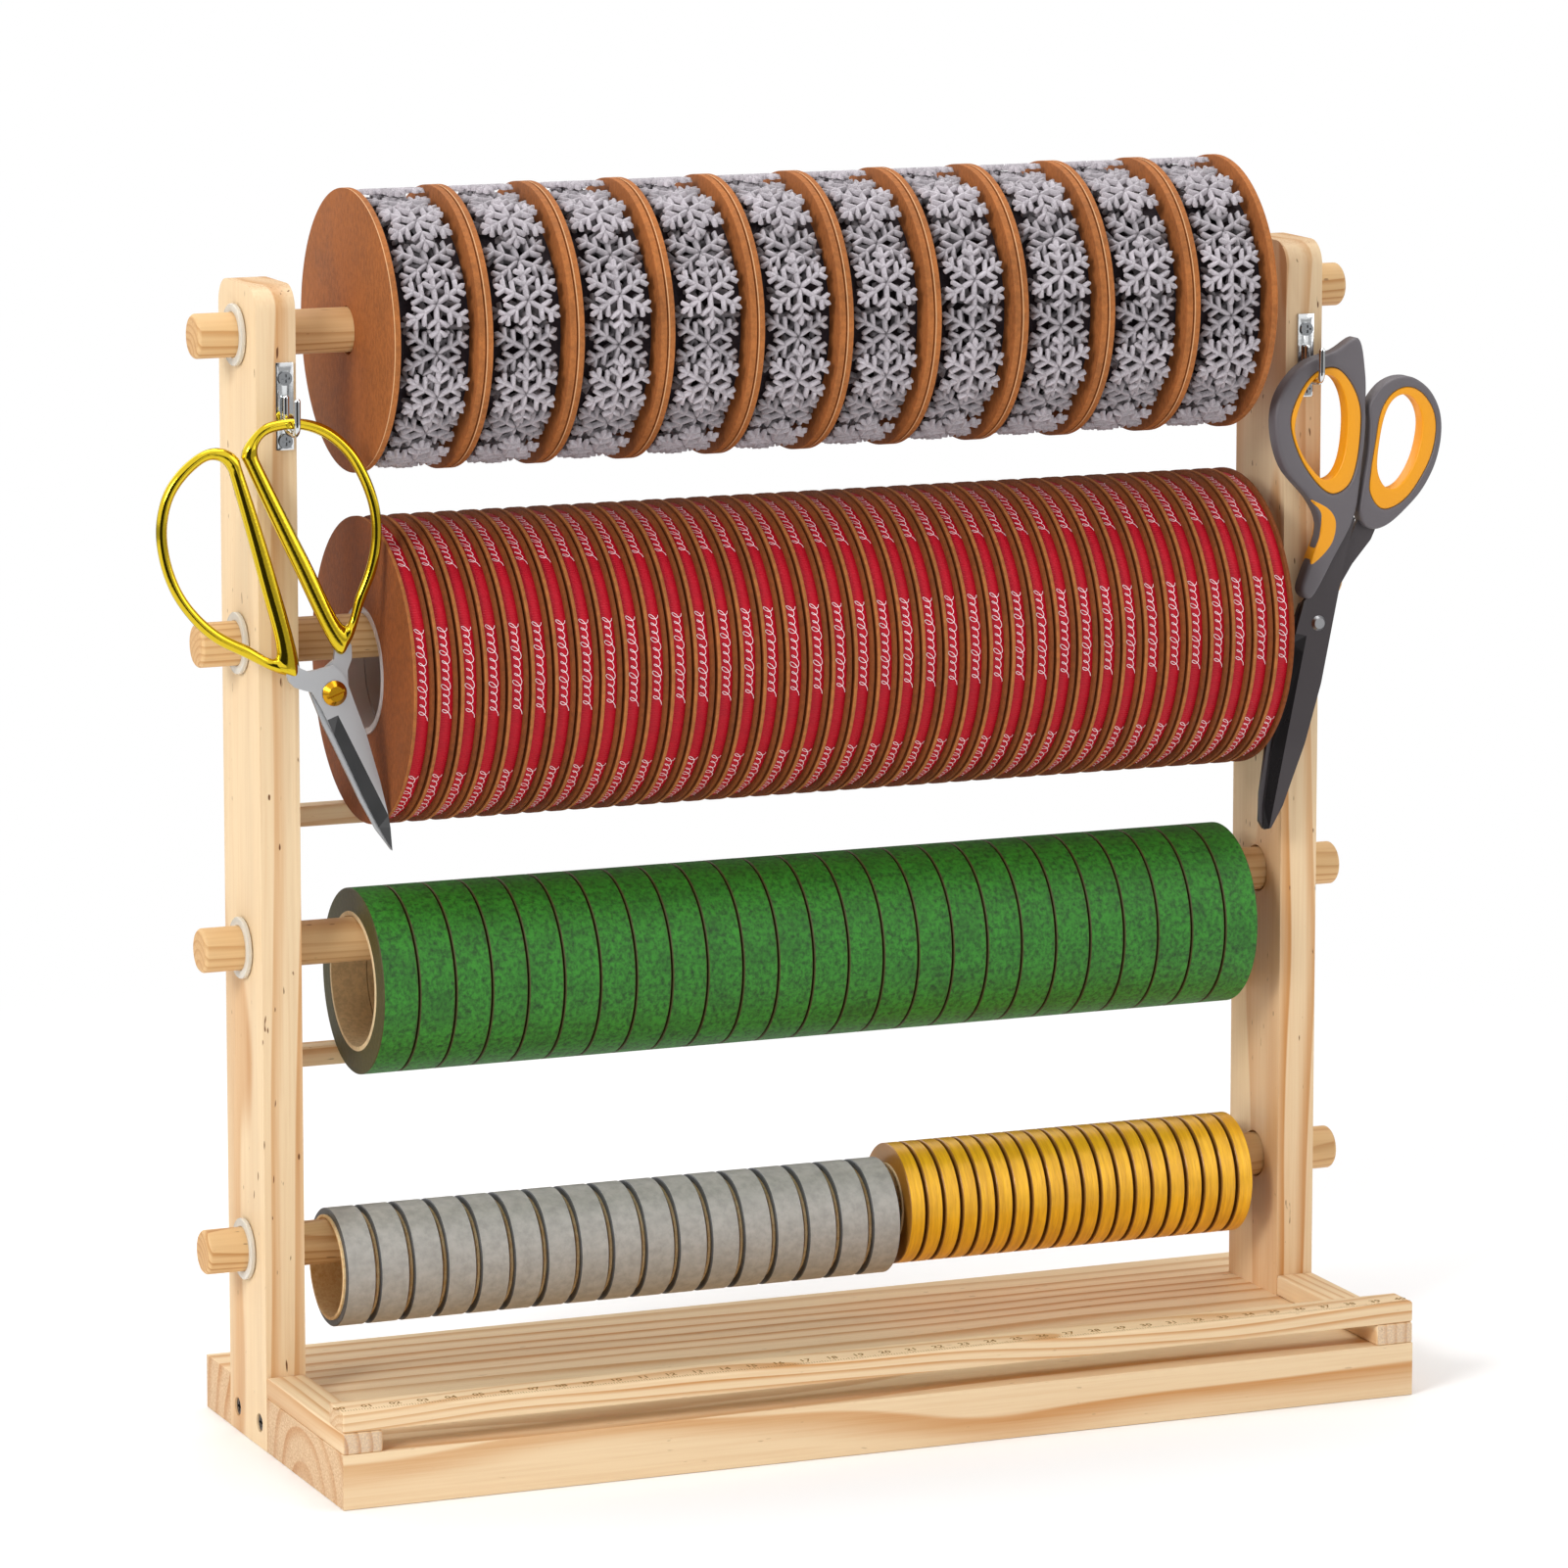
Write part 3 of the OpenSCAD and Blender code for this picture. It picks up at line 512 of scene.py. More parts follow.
def finish_tree(tree, geometry, mat, drain):
    real = add(tree, "GeometryNodeRealizeInstances", {"Geometry": geometry})
    done = add(tree, "GeometryNodeSetMaterial", {"Geometry": real.outputs[0], "Material": mat})
    tree.links.new(done.outputs[0], drain["Geometry"])


def row_tree():
    """Repeats one roll along a rod, each roll turned its own way."""
    tree, i, drain = geometry_tree("Row of rolls", [
        ("Count", "NodeSocketInt", 4), ("Pitch", FLOAT, 0.01), ("Start", VECTOR, (0, 0, 0)),
        ("Turn", FLOAT, 0.0), ("Seed", "NodeSocketInt", 1), ("Material", "NodeSocketMaterial", None)])
    step = add(tree, "ShaderNodeCombineXYZ", {"X": i["Pitch"]})
    line = add(tree, "GeometryNodeMeshLine", {
        "Count": i["Count"], "Start Location": i["Start"], "Offset": step.outputs[0]})
    turn = add(tree, "FunctionNodeRandomValue", {"Seed": i["Seed"]}, data_type="FLOAT")
    tree.links.new(i["Turn"], turn.inputs[3])
    spin = add(tree, "ShaderNodeCombineXYZ", {"X": turn.outputs[1]})
    place = add(tree, "GeometryNodeInstanceOnPoints", {
        "Points": line.outputs[0], "Instance": i["Geometry"], "Rotation": spin.outputs[0]})
    finish_tree(tree, place.outputs[0], i["Material"], drain)
    return tree


def wrap_tree():
    """Lays a flat shape out in a grid over a row of rolls, then wraps it onto their round faces.

    The shape is flat: X across the roll, Y along the turn, Z up off the roll.
    """
    tree, i, drain = geometry_tree("Wrapped on rolls", [
        ("Rolls", "NodeSocketInt", 4), ("Pitch", FLOAT, 0.01), ("Per Turn", "NodeSocketInt", 8),
        ("Radius", FLOAT, 0.05), ("Start", VECTOR, (0, 0, 0)), ("Phase", FLOAT, 0.0),
        ("Jitter", FLOAT, 0.0), ("Shift", FLOAT, 0.0), ("Seed", "NodeSocketInt", 1),
        ("Material", "NodeSocketMaterial", None)])
    around = times(tree, i["Radius"], 2 * math.pi)
    arc = maths(tree, "DIVIDE", around, i["Per Turn"])
    last = minus(tree, i["Rolls"], 1.0)
    grid = add(tree, "GeometryNodeMeshGrid", {
        "Size X": times(tree, last, i["Pitch"]), "Size Y": minus(tree, around, arc),
        "Vertices X": i["Rolls"], "Vertices Y": i["Per Turn"]})
    shift = add(tree, "FunctionNodeRandomValue", {"Seed": i["Seed"]}, data_type="FLOAT_VECTOR")
    low = add(tree, "ShaderNodeCombineXYZ", {"X": times(tree, i["Shift"], -1.0),
                                             "Y": times(tree, i["Shift"], -1.0)})
    high = add(tree, "ShaderNodeCombineXYZ", {"X": i["Shift"], "Y": i["Shift"]})
    tree.links.new(low.outputs[0], shift.inputs[0])
    tree.links.new(high.outputs[0], shift.inputs[1])
    along = add(tree, "ShaderNodeCombineXYZ", {"Y": times(tree, i["Phase"], arc)})
    moved = add(tree, "GeometryNodeSetPosition", {
        "Geometry": grid.outputs[0], "Offset": vector_maths(tree, "ADD", along.outputs[0],
        shift.outputs[0])})
    spin = add(tree, "FunctionNodeRandomValue", {"Seed": i["Seed"]}, data_type="FLOAT")
    tree.links.new(times(tree, i["Jitter"], -1.0), spin.inputs[2])
    tree.links.new(i["Jitter"], spin.inputs[3])
    turn = add(tree, "ShaderNodeCombineXYZ", {"Z": spin.outputs[1]})
    flat = add(tree, "GeometryNodeInstanceOnPoints", {
        "Points": moved.outputs[0], "Instance": i["Geometry"], "Rotation": turn.outputs[0]})
    real = add(tree, "GeometryNodeRealizeInstances", {"Geometry": flat.outputs[0]})
    spot = add(tree, "ShaderNodeSeparateXYZ", {0: add(tree, "GeometryNodeInputPosition").outputs[0]}).outputs
    angle = maths(tree, "DIVIDE", spot["Y"], i["Radius"])
    reach = plus(tree, spot["Z"], i["Radius"])
    centre = times(tree, times(tree, last, i["Pitch"]), 0.5)
    bent = add(tree, "ShaderNodeCombineXYZ", {
        "X": plus(tree, spot["X"], centre),
        "Y": times(tree, reach, maths(tree, "SINE", angle)),
        "Z": times(tree, reach, maths(tree, "COSINE", angle))})
    wrapped = add(tree, "GeometryNodeSetPosition", {
        "Geometry": real.outputs[0], "Position": vector_maths(tree, "ADD", bent.outputs[0], i["Start"])})
    finish_tree(tree, wrapped.outputs[0], i["Material"], drain)
    return tree


def tick_tree():
    """Ruler ticks in a line, the fifth and tenth longer."""
    tree, i, drain = geometry_tree("Ruler ticks", [
        ("Count", "NodeSocketInt", 401), ("Step", FLOAT, MM), ("Start", VECTOR, (0, 0, 0)),
        ("Material", "NodeSocketMaterial", None)])
    step = add(tree, "ShaderNodeCombineXYZ", {"X": i["Step"]})
    line = add(tree, "GeometryNodeMeshLine", {
        "Count": i["Count"], "Start Location": i["Start"], "Offset": step.outputs[0]})
    index = add(tree, "GeometryNodeInputIndex").outputs[0]
    length = 1.0
    for every, more in ((5, 0.45), (10, 0.55)):
        hit = maths(tree, "COMPARE", maths(tree, "MODULO", index, float(every)), 0.0, 0.1)
        length = plus(tree, length, times(tree, hit, more))
    size = add(tree, "ShaderNodeCombineXYZ", {"X": 1.0, "Y": length, "Z": 1.0})
    place = add(tree, "GeometryNodeInstanceOnPoints", {
        "Points": line.outputs[0], "Instance": i["Geometry"], "Scale": size.outputs[0]})
    finish_tree(tree, place.outputs[0], i["Material"], drain)
    return tree


TREES = {}


def grow(name, kind, shape, **values):
    """Runs a Geometry Nodes tree over a shape and keeps the result as a plain mesh."""
    makers = {"row": row_tree, "wrap": wrap_tree, "ticks": tick_tree}
    if kind not in TREES:
        TREES[kind] = makers[kind]()
    made = new_object(name, *shape)
    modifier = made.modifiers.new("Repeat", "NODES")
    modifier.node_group = TREES[kind]
    sockets = {s.name: s.identifier for s in TREES[kind].interface.items_tree if s.in_out == "INPUT"}
    for label, value in values.items():
        modifier[sockets[label.replace("_", " ")]] = value
    bpy.context.view_layer.update()
    return apply_modifiers(made)


# ---- Pieces ----

# The third value is the radius of the near-black painted-shade shell under the snowflakes.
TRIM_WIDTH, TRIM_BORE, TRIM_SHADE_RADIUS = 33.0, 8.45, 40.0
# Radius of a layer of snowflakes, where it starts, how many go round, and how far they may turn.
FLAKE_LAYERS = ((42.0, 0.0, 13, 0.5), (44.4, 0.62, 9, 0.12), (46.7, 0.15, 9, 0.05))
RIBBON_WIDTH, RIBBON_PITCH, HUB_BORE, HUB_RADIUS, DISC_BORE = 7.5, 8.56, 20.25, 22.5, 22.6


def roll_row(name, shape, angle, body, slot, nodes, mat, **values):
    """A row of one roll's shape along a rod, in place of its CAD nodes."""
    made = grow(name, "row", shape, Material=mat, **values)
    return settle(tidy(made, angle), body, nodes, [mat])


class RACK_OT_boards(bpy.types.Operator):
    """Pine boards: base, uprights, side rails, ruler rail and cross bars, with eased edges"""
    bl_idname = "rack.boards"
    bl_label = "Boards"

    def execute(self, context):
        s = context.scene.rack_stand
        pine = (s.wood_light, s.wood_dark, s.fleck)
        base = wood("Base pine", "X", (0.0, -0.034, -0.012), *pine, ring=0.0105, flecks=0.3, end="#a0602c")
        tall = [wood(f"{side} upright pine", "Z", pith, *pine, ring=0.0095, flecks=1.0)
                for side, pith in (("Left", (0.0, 0.058, -0.20)), ("Right", (0.0, -0.03, 0.175)))]
        rail = wood("Rail pine", "Y", (0.0, 0.21, 0.02), *pine, ring=0.004, flecks=0.3, end="#a98f88")
        ruler = wood("Ruler pine", "X", (0.0, -0.075, 0.004), *pine, ring=0.0034, flecks=0.3, end="#b98450")
        bar = wood("Bar pine", "X", (0.0, 0.02, 0.1), *pine, ring=0.006, flecks=0.5)
        for node, mat in (("base_board", base), ("left_upright", tall[0]), ("right_upright", tall[1]),
                          ("left_side_rail", rail), ("right_side_rail", rail), ("ruler_rail", ruler),
                          ("upper_cross_bar", bar), ("lower_cross_bar", bar)):
            eased_copy(node, f"Eased_{node}", s.edge, "stand", mat)
        return {"FINISHED"}


class RACK_OT_rods(bpy.types.Operator):
    """Dowel rods with their clear stop rings, the recessed bolts and the wood screws"""
    bl_idname = "rack.rods"
    bl_label = "Rods and fixings"

    def execute(self, context):
        s = context.scene.rack_stand
        for n in range(1, 5):
            node = f"dowel_rod_{n}"
            centre = middle(node)
            pith = (0.0, centre.y + 0.006 * math.sin(n * 2.1), centre.z - 0.009)
            mat = wood(f"Rod wood {n}", "X", pith, s.rod_light, s.rod_dark, s.fleck, ring=0.0026, flecks=0.6,
                       end="#c58f57")
            eased_copy(node, f"Dowel_{n}", 0.0004, f"rod_{n}", mat)
        clear = marked("Milky ring", srgb("#f4efe2"), 0.22, 0.05, Transmission_Weight=0.35, IOR=1.45)
        for n in range(1, 5):
            eased_copy(f"stop_ring_{n}", f"Stop_ring_{n}", 0.0005, f"ring_{n}", clear)
        dress("upright_bolts", marked("Dark bolt", srgb("#4a4442"), 0.32, 0.2, Metallic=1.0))
        dress("cross_bar_screws", marked("Small brass screw", srgb("#c8a04a"), 0.3, 0.2, Metallic=1.0))
        dress("hook_plate_screws", marked("Small steel screw", srgb("#9c9fa2"), 0.3, 0.3, Metallic=1.0))
        return {"FINISHED"}


def bar_flat(length, width, height, place, turn):
    """A low ridge-topped bar lying flat: X across, Y along the turn, Z up."""
    ends = ((-0.5, 0.0), (-0.42, 0.5), (0.42, 0.5), (0.5, 0.0), (0.42, -0.5), (-0.42, -0.5))
    rim = [(length * a, width * b, 0.0) for a, b in ends]
    top = [(length * a * 0.9, width * b * 0.45, height) for a, b in ends]
    spin = Matrix.Rotation(turn, 3, "Z")
    verts = [tuple(spin @ Vector(p) + Vector(place)) for p in rim + top]
    faces = [tuple(range(6, 12))]
    faces += [(k, (k + 1) % 6, 6 + (k + 1) % 6, 6 + k) for k in range(6)]
    return verts, faces


def snowflake(reach, thick, lift=0.0):
    """Six arms with two pairs of twigs each, lying flat."""
    shapes = []
    for arm in range(6):
        angle = math.pi / 6 + arm * math.pi / 3
        along = Vector((math.cos(angle), math.sin(angle), 0))
        shapes.append(bar_flat(reach, reach * 0.15, thick, along * reach / 2 + Vector((0, 0, lift)), angle))
        for where, length in ((0.40, 0.36), (0.68, 0.28)):
            for side in (-1, 1):
                twig = angle + side * math.radians(58)
                out = Vector((math.cos(twig), math.sin(twig), 0))
                middle_point = along * reach * where + out * reach * length / 2
                shapes.append(bar_flat(reach * length, reach * 0.135, thick,
                                       middle_point + Vector((0, 0, lift)), twig))
    return joined(*shapes)


def curl_print(long, high, thick):
    """A generic written curl: a line of joined loops of uneven height, as a flat ribbon along Y."""
    points = []
    count, loops = 150, 11
    for k in range(count):
        t = k / (count - 1)
        turn = t * loops * 2 * math.pi
        size = high * (0.28 + 0.2 * max(0, math.cos(t * 19)) ** 3)
        swing = size * math.cos(turn)
        points.append(Vector((swing, long * (t - 0.5) * 0.9 + size * 0.8 * math.sin(turn) - 0.5 * swing, 0)))
    verts, faces = [], []
    for k, p in enumerate(points):
        ahead = points[min(k + 1, count - 1)] - points[max(k - 1, 0)]
        side = Vector((-ahead.y, ahead.x, 0)).normalized()
        half = thick * (0.2 + 0.3 * abs(math.sin(t * loops * math.pi)))
        verts += [tuple(p + side * half), tuple(p - side * half)]
        if k:
            faces.append((2 * k - 2, 2 * k - 1, 2 * k + 1, 2 * k))
    return verts, faces


def kraft_material(name, colour, start, pitch, pale, painted_shade, far):
    """Card with a painted highlight down each roll's left rim edge, painted shade browning its flat faces and
    a painted shadow browning its far disc.
    """
    def build(t, coords):
        at = use(t, shared("roll"), Vector=coords["Object"], Normal=coords["Normal"], Start=start,
            Pitch=pitch)
        card = use(t, shared("card"), Vector=coords["Object"], Light=shade(colour, 1.12),
                   Dark=shade(colour, 0.55))
        # Painted highlight: a pale line along the rim at each roll's left edge, kept off the flat faces.
        line = times(t, maths(t, "LESS_THAN", at["Across"], pale), minus(t, 1.0, at["Side"]))
        tint = mix(t, times(t, line, 0.6), card["Colour"], (0.85, 0.55, 0.3))
        # Painted shade: the flat side faces turn brown by the side amount, and the far disc, past 0.6 across,
        # turns brown by the far amount as a painted shadow.
        painted_shade_brown = mix(t, 1.0, tint, (0.42, 0.27, 0.16), "MULTIPLY")
        shaded = times(t, maths(t, "GREATER_THAN", at["Across"], 0.6), far)
        shaded = maths(t, "MAXIMUM", shaded, times(t, at["Side"], painted_shade))
        tint = mix(t, shaded, tint, painted_shade_brown)
        return {"Base Color": tint, "Roughness": card["Roughness"], "Bump": card["Height"], "Depth": 0.00015}
    return material(name, build, Specular_IOR_Level=0.25)


class RACK_OT_trim(bpy.types.Operator):
    """Ten kraft spools of grey snowflake trim on the top rod"""
    bl_idname = "rack.trim"
    bl_label = "Snowflake trim"

    def execute(self, context):
        s = context.scene.rack_rolls
        low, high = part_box("trim_spools")
        centre = middle("trim_spools")
        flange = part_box("trim_windings")[0].x - low.x
        outer = (high.z - low.z) / 2
        spool = TRIM_WIDTH * MM
        count = round((high.x - low.x) / spool)
        pitch = (high.x - low.x - spool) / (count - 1)
        start = Vector((low.x, centre.y, centre.z))
        r, w, f = outer / MM, spool / MM, flange / MM
        profile = [(0, TRIM_BORE), (0, r - 0.4), (0.25, r), (f - 0.25, r), (f, r - 0.4), (f, 14.9),
            (w - f, 14.9),
                   (w - f, r - 0.4), (w - f + 0.25, r), (w - 0.25, r), (w, r - 0.4), (w, TRIM_BORE)]
        mat = kraft_material("Kraft card", s.kraft, start, pitch, 0.018, 0.4, 0.0)
        row = dict(Count=count, Pitch=pitch, Start=start)
        roll_row("Kraft_spools", lathe(profile, 128), 35, "trim_rolls", "kraft_card", ["trim_spools"], mat,
                 Seed=3, **row)

        # Painted shade: a near-black shell, in place of the wound trim, stands for the shade between the
        # snowflakes.
        def ground(t, coords):
            cloud = noise(t, coords["Object"], 260.0, 4.0, 0.7)
            return {"Base Color": mix(t, cloud, s.trim_deep_shade, (0.045, 0.03, 0.038)),
                    "Bump": cloud, "Depth": 0.0008}
        painted_shade = material("Trim deep shade", ground, Roughness=0.9)
        winding = [(f, 15), (f, TRIM_SHADE_RADIUS), (w / 2, TRIM_SHADE_RADIUS + 0.4), (w - f, TRIM_SHADE_RADIUS), (w - f, 15)]
        roll_row("Trim_deep_shade", lathe(winding), 35, "trim_rolls", "snow_trim", ["trim_windings"], painted_shade,
            Seed=5,
                 **row)

        def felt(t, coords):
            fuzz = noise(t, coords["Object"], 1800.0, 3.0, 0.7)
            cloud = noise(t, coords["Object"], 120.0, 2.0)
            tone = mix(t, ramp(t, fuzz, 0.3, 0.7, 0.0, 0.55), s.trim, shade(s.trim, 0.45))
            tone = mix(t, ramp(t, cloud, 0.4, 0.8, 0.0, 0.4), tone, shade(s.trim, 1.5))
            axis = add(t, "ShaderNodeCombineXYZ", {"Y": centre.y, "Z": centre.z}).outputs[0]
            spoke = vector_maths(t, "MULTIPLY", vector_maths(t, "SUBTRACT", coords["Object"], axis),
                (0.0, 1.0, 1.0))
            # Painted shade: flakes lying lower, nearer the shell, are darkened towards a sixth of the trim
            # colour.
            deep_layer_shade = ramp(t, vector_maths(t, "LENGTH", spoke), 0.0425, 0.0475, 0.75, 0.0)
            tone = mix(t, deep_layer_shade, tone, shade(s.trim, 0.16))
            return {"Base Color": tone, "Bump": fuzz, "Depth": 0.0003}
        cloth = material("Felt trim", felt, Roughness=0.85, Sheen_Weight=0.2)
        middle_x = Vector((low.x + spool / 2, centre.y, centre.z))
        for layer, (radius, phase, per_turn, jitter) in enumerate(FLAKE_LAYERS):
            made = grow(f"Snowflakes_{layer + 1}", "wrap", snowflake(s.flake, 1.6 * MM), Rolls=count,
                Pitch=pitch,
                        Per_Turn=per_turn, Radius=radius * MM, Start=middle_x, Phase=phase, Jitter=jitter,
                        Shift=0.5 * MM, Seed=11 + layer, Material=cloth)
            settle(made, "trim_rolls", (), [cloth])
        return {"FINISHED"}


class RACK_OT_ribbon(bpy.types.Operator):
    """Thirty-nine narrow spools of red ribbon with clear hubs on the second rod"""
    bl_idname = "rack.ribbon"
    bl_label = "Red ribbon"

    def execute(self, context):
        s = context.scene.rack_rolls
        low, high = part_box("ribbon_spools")
        centre = middle("ribbon_spools")
        wind_low, wind_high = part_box("ribbon_windings")
        f = (wind_low.x - low.x) / MM
        r = (high.z - low.z) / 2 / MM
        w = RIBBON_WIDTH
        count = round((high.x - low.x) / (RIBBON_PITCH * MM))
        pitch = (high.x - low.x - w * MM) / (count - 1)
        start = Vector((low.x, centre.y, centre.z))
        card = kraft_material("Thin kraft card", s.kraft, start, pitch, 0.0, 0.75, 0.85)
        discs = joined(*(lathe(ring(x, x + f, DISC_BORE, r), 120) for x in (0, w - f)))
        row = dict(Count=count, Pitch=pitch, Start=start)
        roll_row("Ribbon_discs", discs, 35, "ribbon_rolls", "kraft_card", ["ribbon_spools"], card, Seed=2,
            **row)

        def red(t, coords):
            at = use(t, shared("roll"), Vector=coords["Object"], Normal=coords["Normal"], Start=start,
                Pitch=pitch)
            rib = maths(t, "SINE", times(t, at["Angle"], 360.0))
            cloud = noise(t, coords["Object"], 160.0, 2.0)
            layers = noise(t, stretched(t, coords["Object"], (2200.0, 60.0, 60.0)), 1.0, 2.0)
            tone = mix(t, ramp(t, cloud, 0.3, 0.8, 0.0, 0.35), s.red, shade(s.red, 0.55))
            tone = mix(t, times(t, layers, 0.25), tone, shade(s.red, 1.5))
            return {"Base Color": tone, "Bump": rib, "Depth": 0.00005}
        satin = material("Grosgrain", red, Roughness=0.5, Specular_IOR_Level=0.3)
        rd = (wind_high.z - wind_low.z) / 2 / MM
        tape = [(f, HUB_RADIUS), (f, rd - 0.25), (f + 0.5, rd), (w - f - 0.5, rd), (w - f, rd - 0.25),
                (w - f, HUB_RADIUS)]
        roll_row("Ribbon_wound", lathe(tape, 128), 50, "ribbon_rolls", "red_ribbon", ["ribbon_windings"],
            satin,
                 Seed=4, **row)

        def ink(t, coords):
            return {"Base Color": mix(t, noise(t, coords["Object"], 900.0), s.print, (1.0, 0.93, 0.95))}
        white = material("Curl print", ink, Roughness=0.5)
        at = Vector((low.x + w * MM / 2, centre.y, centre.z))
        curls = grow("Printed_curls", "wrap", curl_print(35 * MM, 4.0 * MM, 0.6 * MM), Rolls=count,
            Pitch=pitch,
                     Per_Turn=6, Radius=(rd + 0.06) * MM, Start=at, Phase=0.12, Jitter=0.0,
                     Shift=0.15 * MM, Seed=8, Material=white)
        settle(curls, "ribbon_rolls", (), [white])

        lip = (low.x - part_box("ribbon_hubs")[0].x) / MM
        hub = [(-lip, HUB_BORE), (-lip, HUB_RADIUS - 0.1), (0, HUB_RADIUS), (w, HUB_RADIUS),
               (w + lip, HUB_RADIUS - 0.1), (w + lip, HUB_BORE)]
        clear = marked("Clear hub", s.hub, 0.12, 0.05, Transmission_Weight=0.55, IOR=1.49)
        roll_row("Clear_hubs", lathe(hub, 72), 35, "ribbon_rolls", "clear_plastic", ["ribbon_hubs"], clear,
                 Seed=6, **row)
        return {"FINISHED"}


def tape_row(name, cores, tapes, width, body, tape_slot, core_mat, tape_mat, core_profile, tape_profile,
        seed,
             segments=72):
    """A row of plain rolls: paper cores with tape wound on them.

    width holds the core's width, bore and radius, the tape's width and radius, and how many rolls.
    """
    low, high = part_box(cores)
    centre = middle(cores)
    core_w, bore, core_r, tape_w, tape_r, count = width
    pitch = (high.x - low.x - core_w * MM) / (count - 1)
    start = Vector((low.x, centre.y, centre.z))
    gap = (core_w - tape_w) / 2
    inner = core_profile(core_w, bore, core_r)
    row = dict(Count=count, Pitch=pitch, Start=start)
    roll_row(f"{name}_cores", lathe(inner, segments), 35, body, "core_paper", [cores], core_mat, Seed=seed,
        **row)
    outer = tape_profile(gap, gap + tape_w, core_r - 0.05, tape_r)
    roll_row(f"{name}_tapes", lathe(outer, segments + 24), 40, body, tape_slot, [tapes], tape_mat,
        Turn=6.283,
             Seed=seed + 1, **row)


def paper(name, light, painted_shade):
    def build(t, coords):
        out = use(t, shared("card"), Vector=coords["Object"], Light=light, Dark=painted_shade)
        return finish(out, 0.0001)
    return material(name, build, Specular_IOR_Level=0.3)


def wound_material(name, face, edge, painted_sheen, scale, low=0.5, **sockets):
    """Tape on a roll: one look on its face and another, with fine turns, on its edge."""
    def build(t, coords):
        part = add(t, "ShaderNodeSeparateXYZ", {0: coords["Normal"]}).outputs
        side = ramp(t, maths(t, "ABSOLUTE", part["X"]), 0.45, 0.65)
        fine = noise(t, stretched(t, coords["Object"], scale), 1.0, 4.0, 0.65)
        cloud = noise(t, coords["Object"], 90.0, 2.0)
        # Painted sheen: along the fine streaks the face colour is lifted up to the shine factor, in place of
        # a real highlight.
        tone = mix(t, ramp(t, fine, 0.25, 0.7), shade(face, low), shade(face, painted_sheen))
        tone = mix(t, ramp(t, cloud, 0.4, 0.8, 0.0, 0.4), tone, shade(face, low))
        edge_tone = mix(t, fine, shade(edge, 0.6), shade(edge, 1.5))
        return {"Base Color": mix(t, side, tone, edge_tone), "Bump": fine, "Depth": 0.0002}
    return material(name, build, **sockets)


class RACK_OT_tapes(bpy.types.Operator):
    """Green crepe, grey tape and gold satin rolls on the two lower rods"""
    bl_idname = "rack.tapes"
    bl_label = "Tapes"

    def execute(self, context):
        s = context.scene.rack_rolls
        paper_core = paper("Core paper", s.core, shade(s.core, 0.6))

        def core(w, bore, r):
            return [(0, bore), (0, r - 0.15), (0.15, r), (w - 0.15, r), (w, r - 0.15), (w, bore)]

        def flat_tape(x0, x1, r0, r1):
            return [(x0, r0), (x0, r1 - 0.3), (x0 + 0.3, r1), ((x0 + x1) / 2, r1), (x1 - 0.3, r1),
                (x1, r1 - 0.3),
                    (x1, r0)]

        crepe = wound_material("Green crepe", s.green, s.green_edge, 2.3, (620.0, 560.0, 560.0), 0.4,
                               Roughness=0.6)
        tape_row("Green", "green_cores", "green_tapes", (13.0, 23.0, 24.5, 12.7, 32.6, 25), "green_rolls",
                 "green_crepe", paper_core, crepe, core, flat_tape, 21)
        grey = wound_material("Grey tape", s.grey, (0.075, 0.078, 0.082), 1.1, (300.0, 300.0, 300.0), 0.8,
                              Roughness=0.45)
        tan_core = paper("Tan core paper", srgb("#fbe3b4"), srgb("#d9ab6c"))
        tape_row("Grey", "grey_cores", "grey_tapes", (12.1, 17.5, 18.5, 10.4, 20.8, 17),
                                "grey_rolls", "grey_tape", tan_core, grey, core, flat_tape, 31)
        satin = wound_material("Gold satin", s.gold, (0.32, 0.14, 0.02), 1.4, (700.0, 60.0, 60.0), 0.9,
                               Roughness=0.3, Metallic=0.15)
        tape_row("Gold", "gold_cores", "gold_ribbons", (6.5, 13.75, 14.75, 5.6, 21.75, 20), "gold_rolls",
                 "gold_satin", paper_core, satin, core, flat_tape, 41)
        return {"FINISHED"}


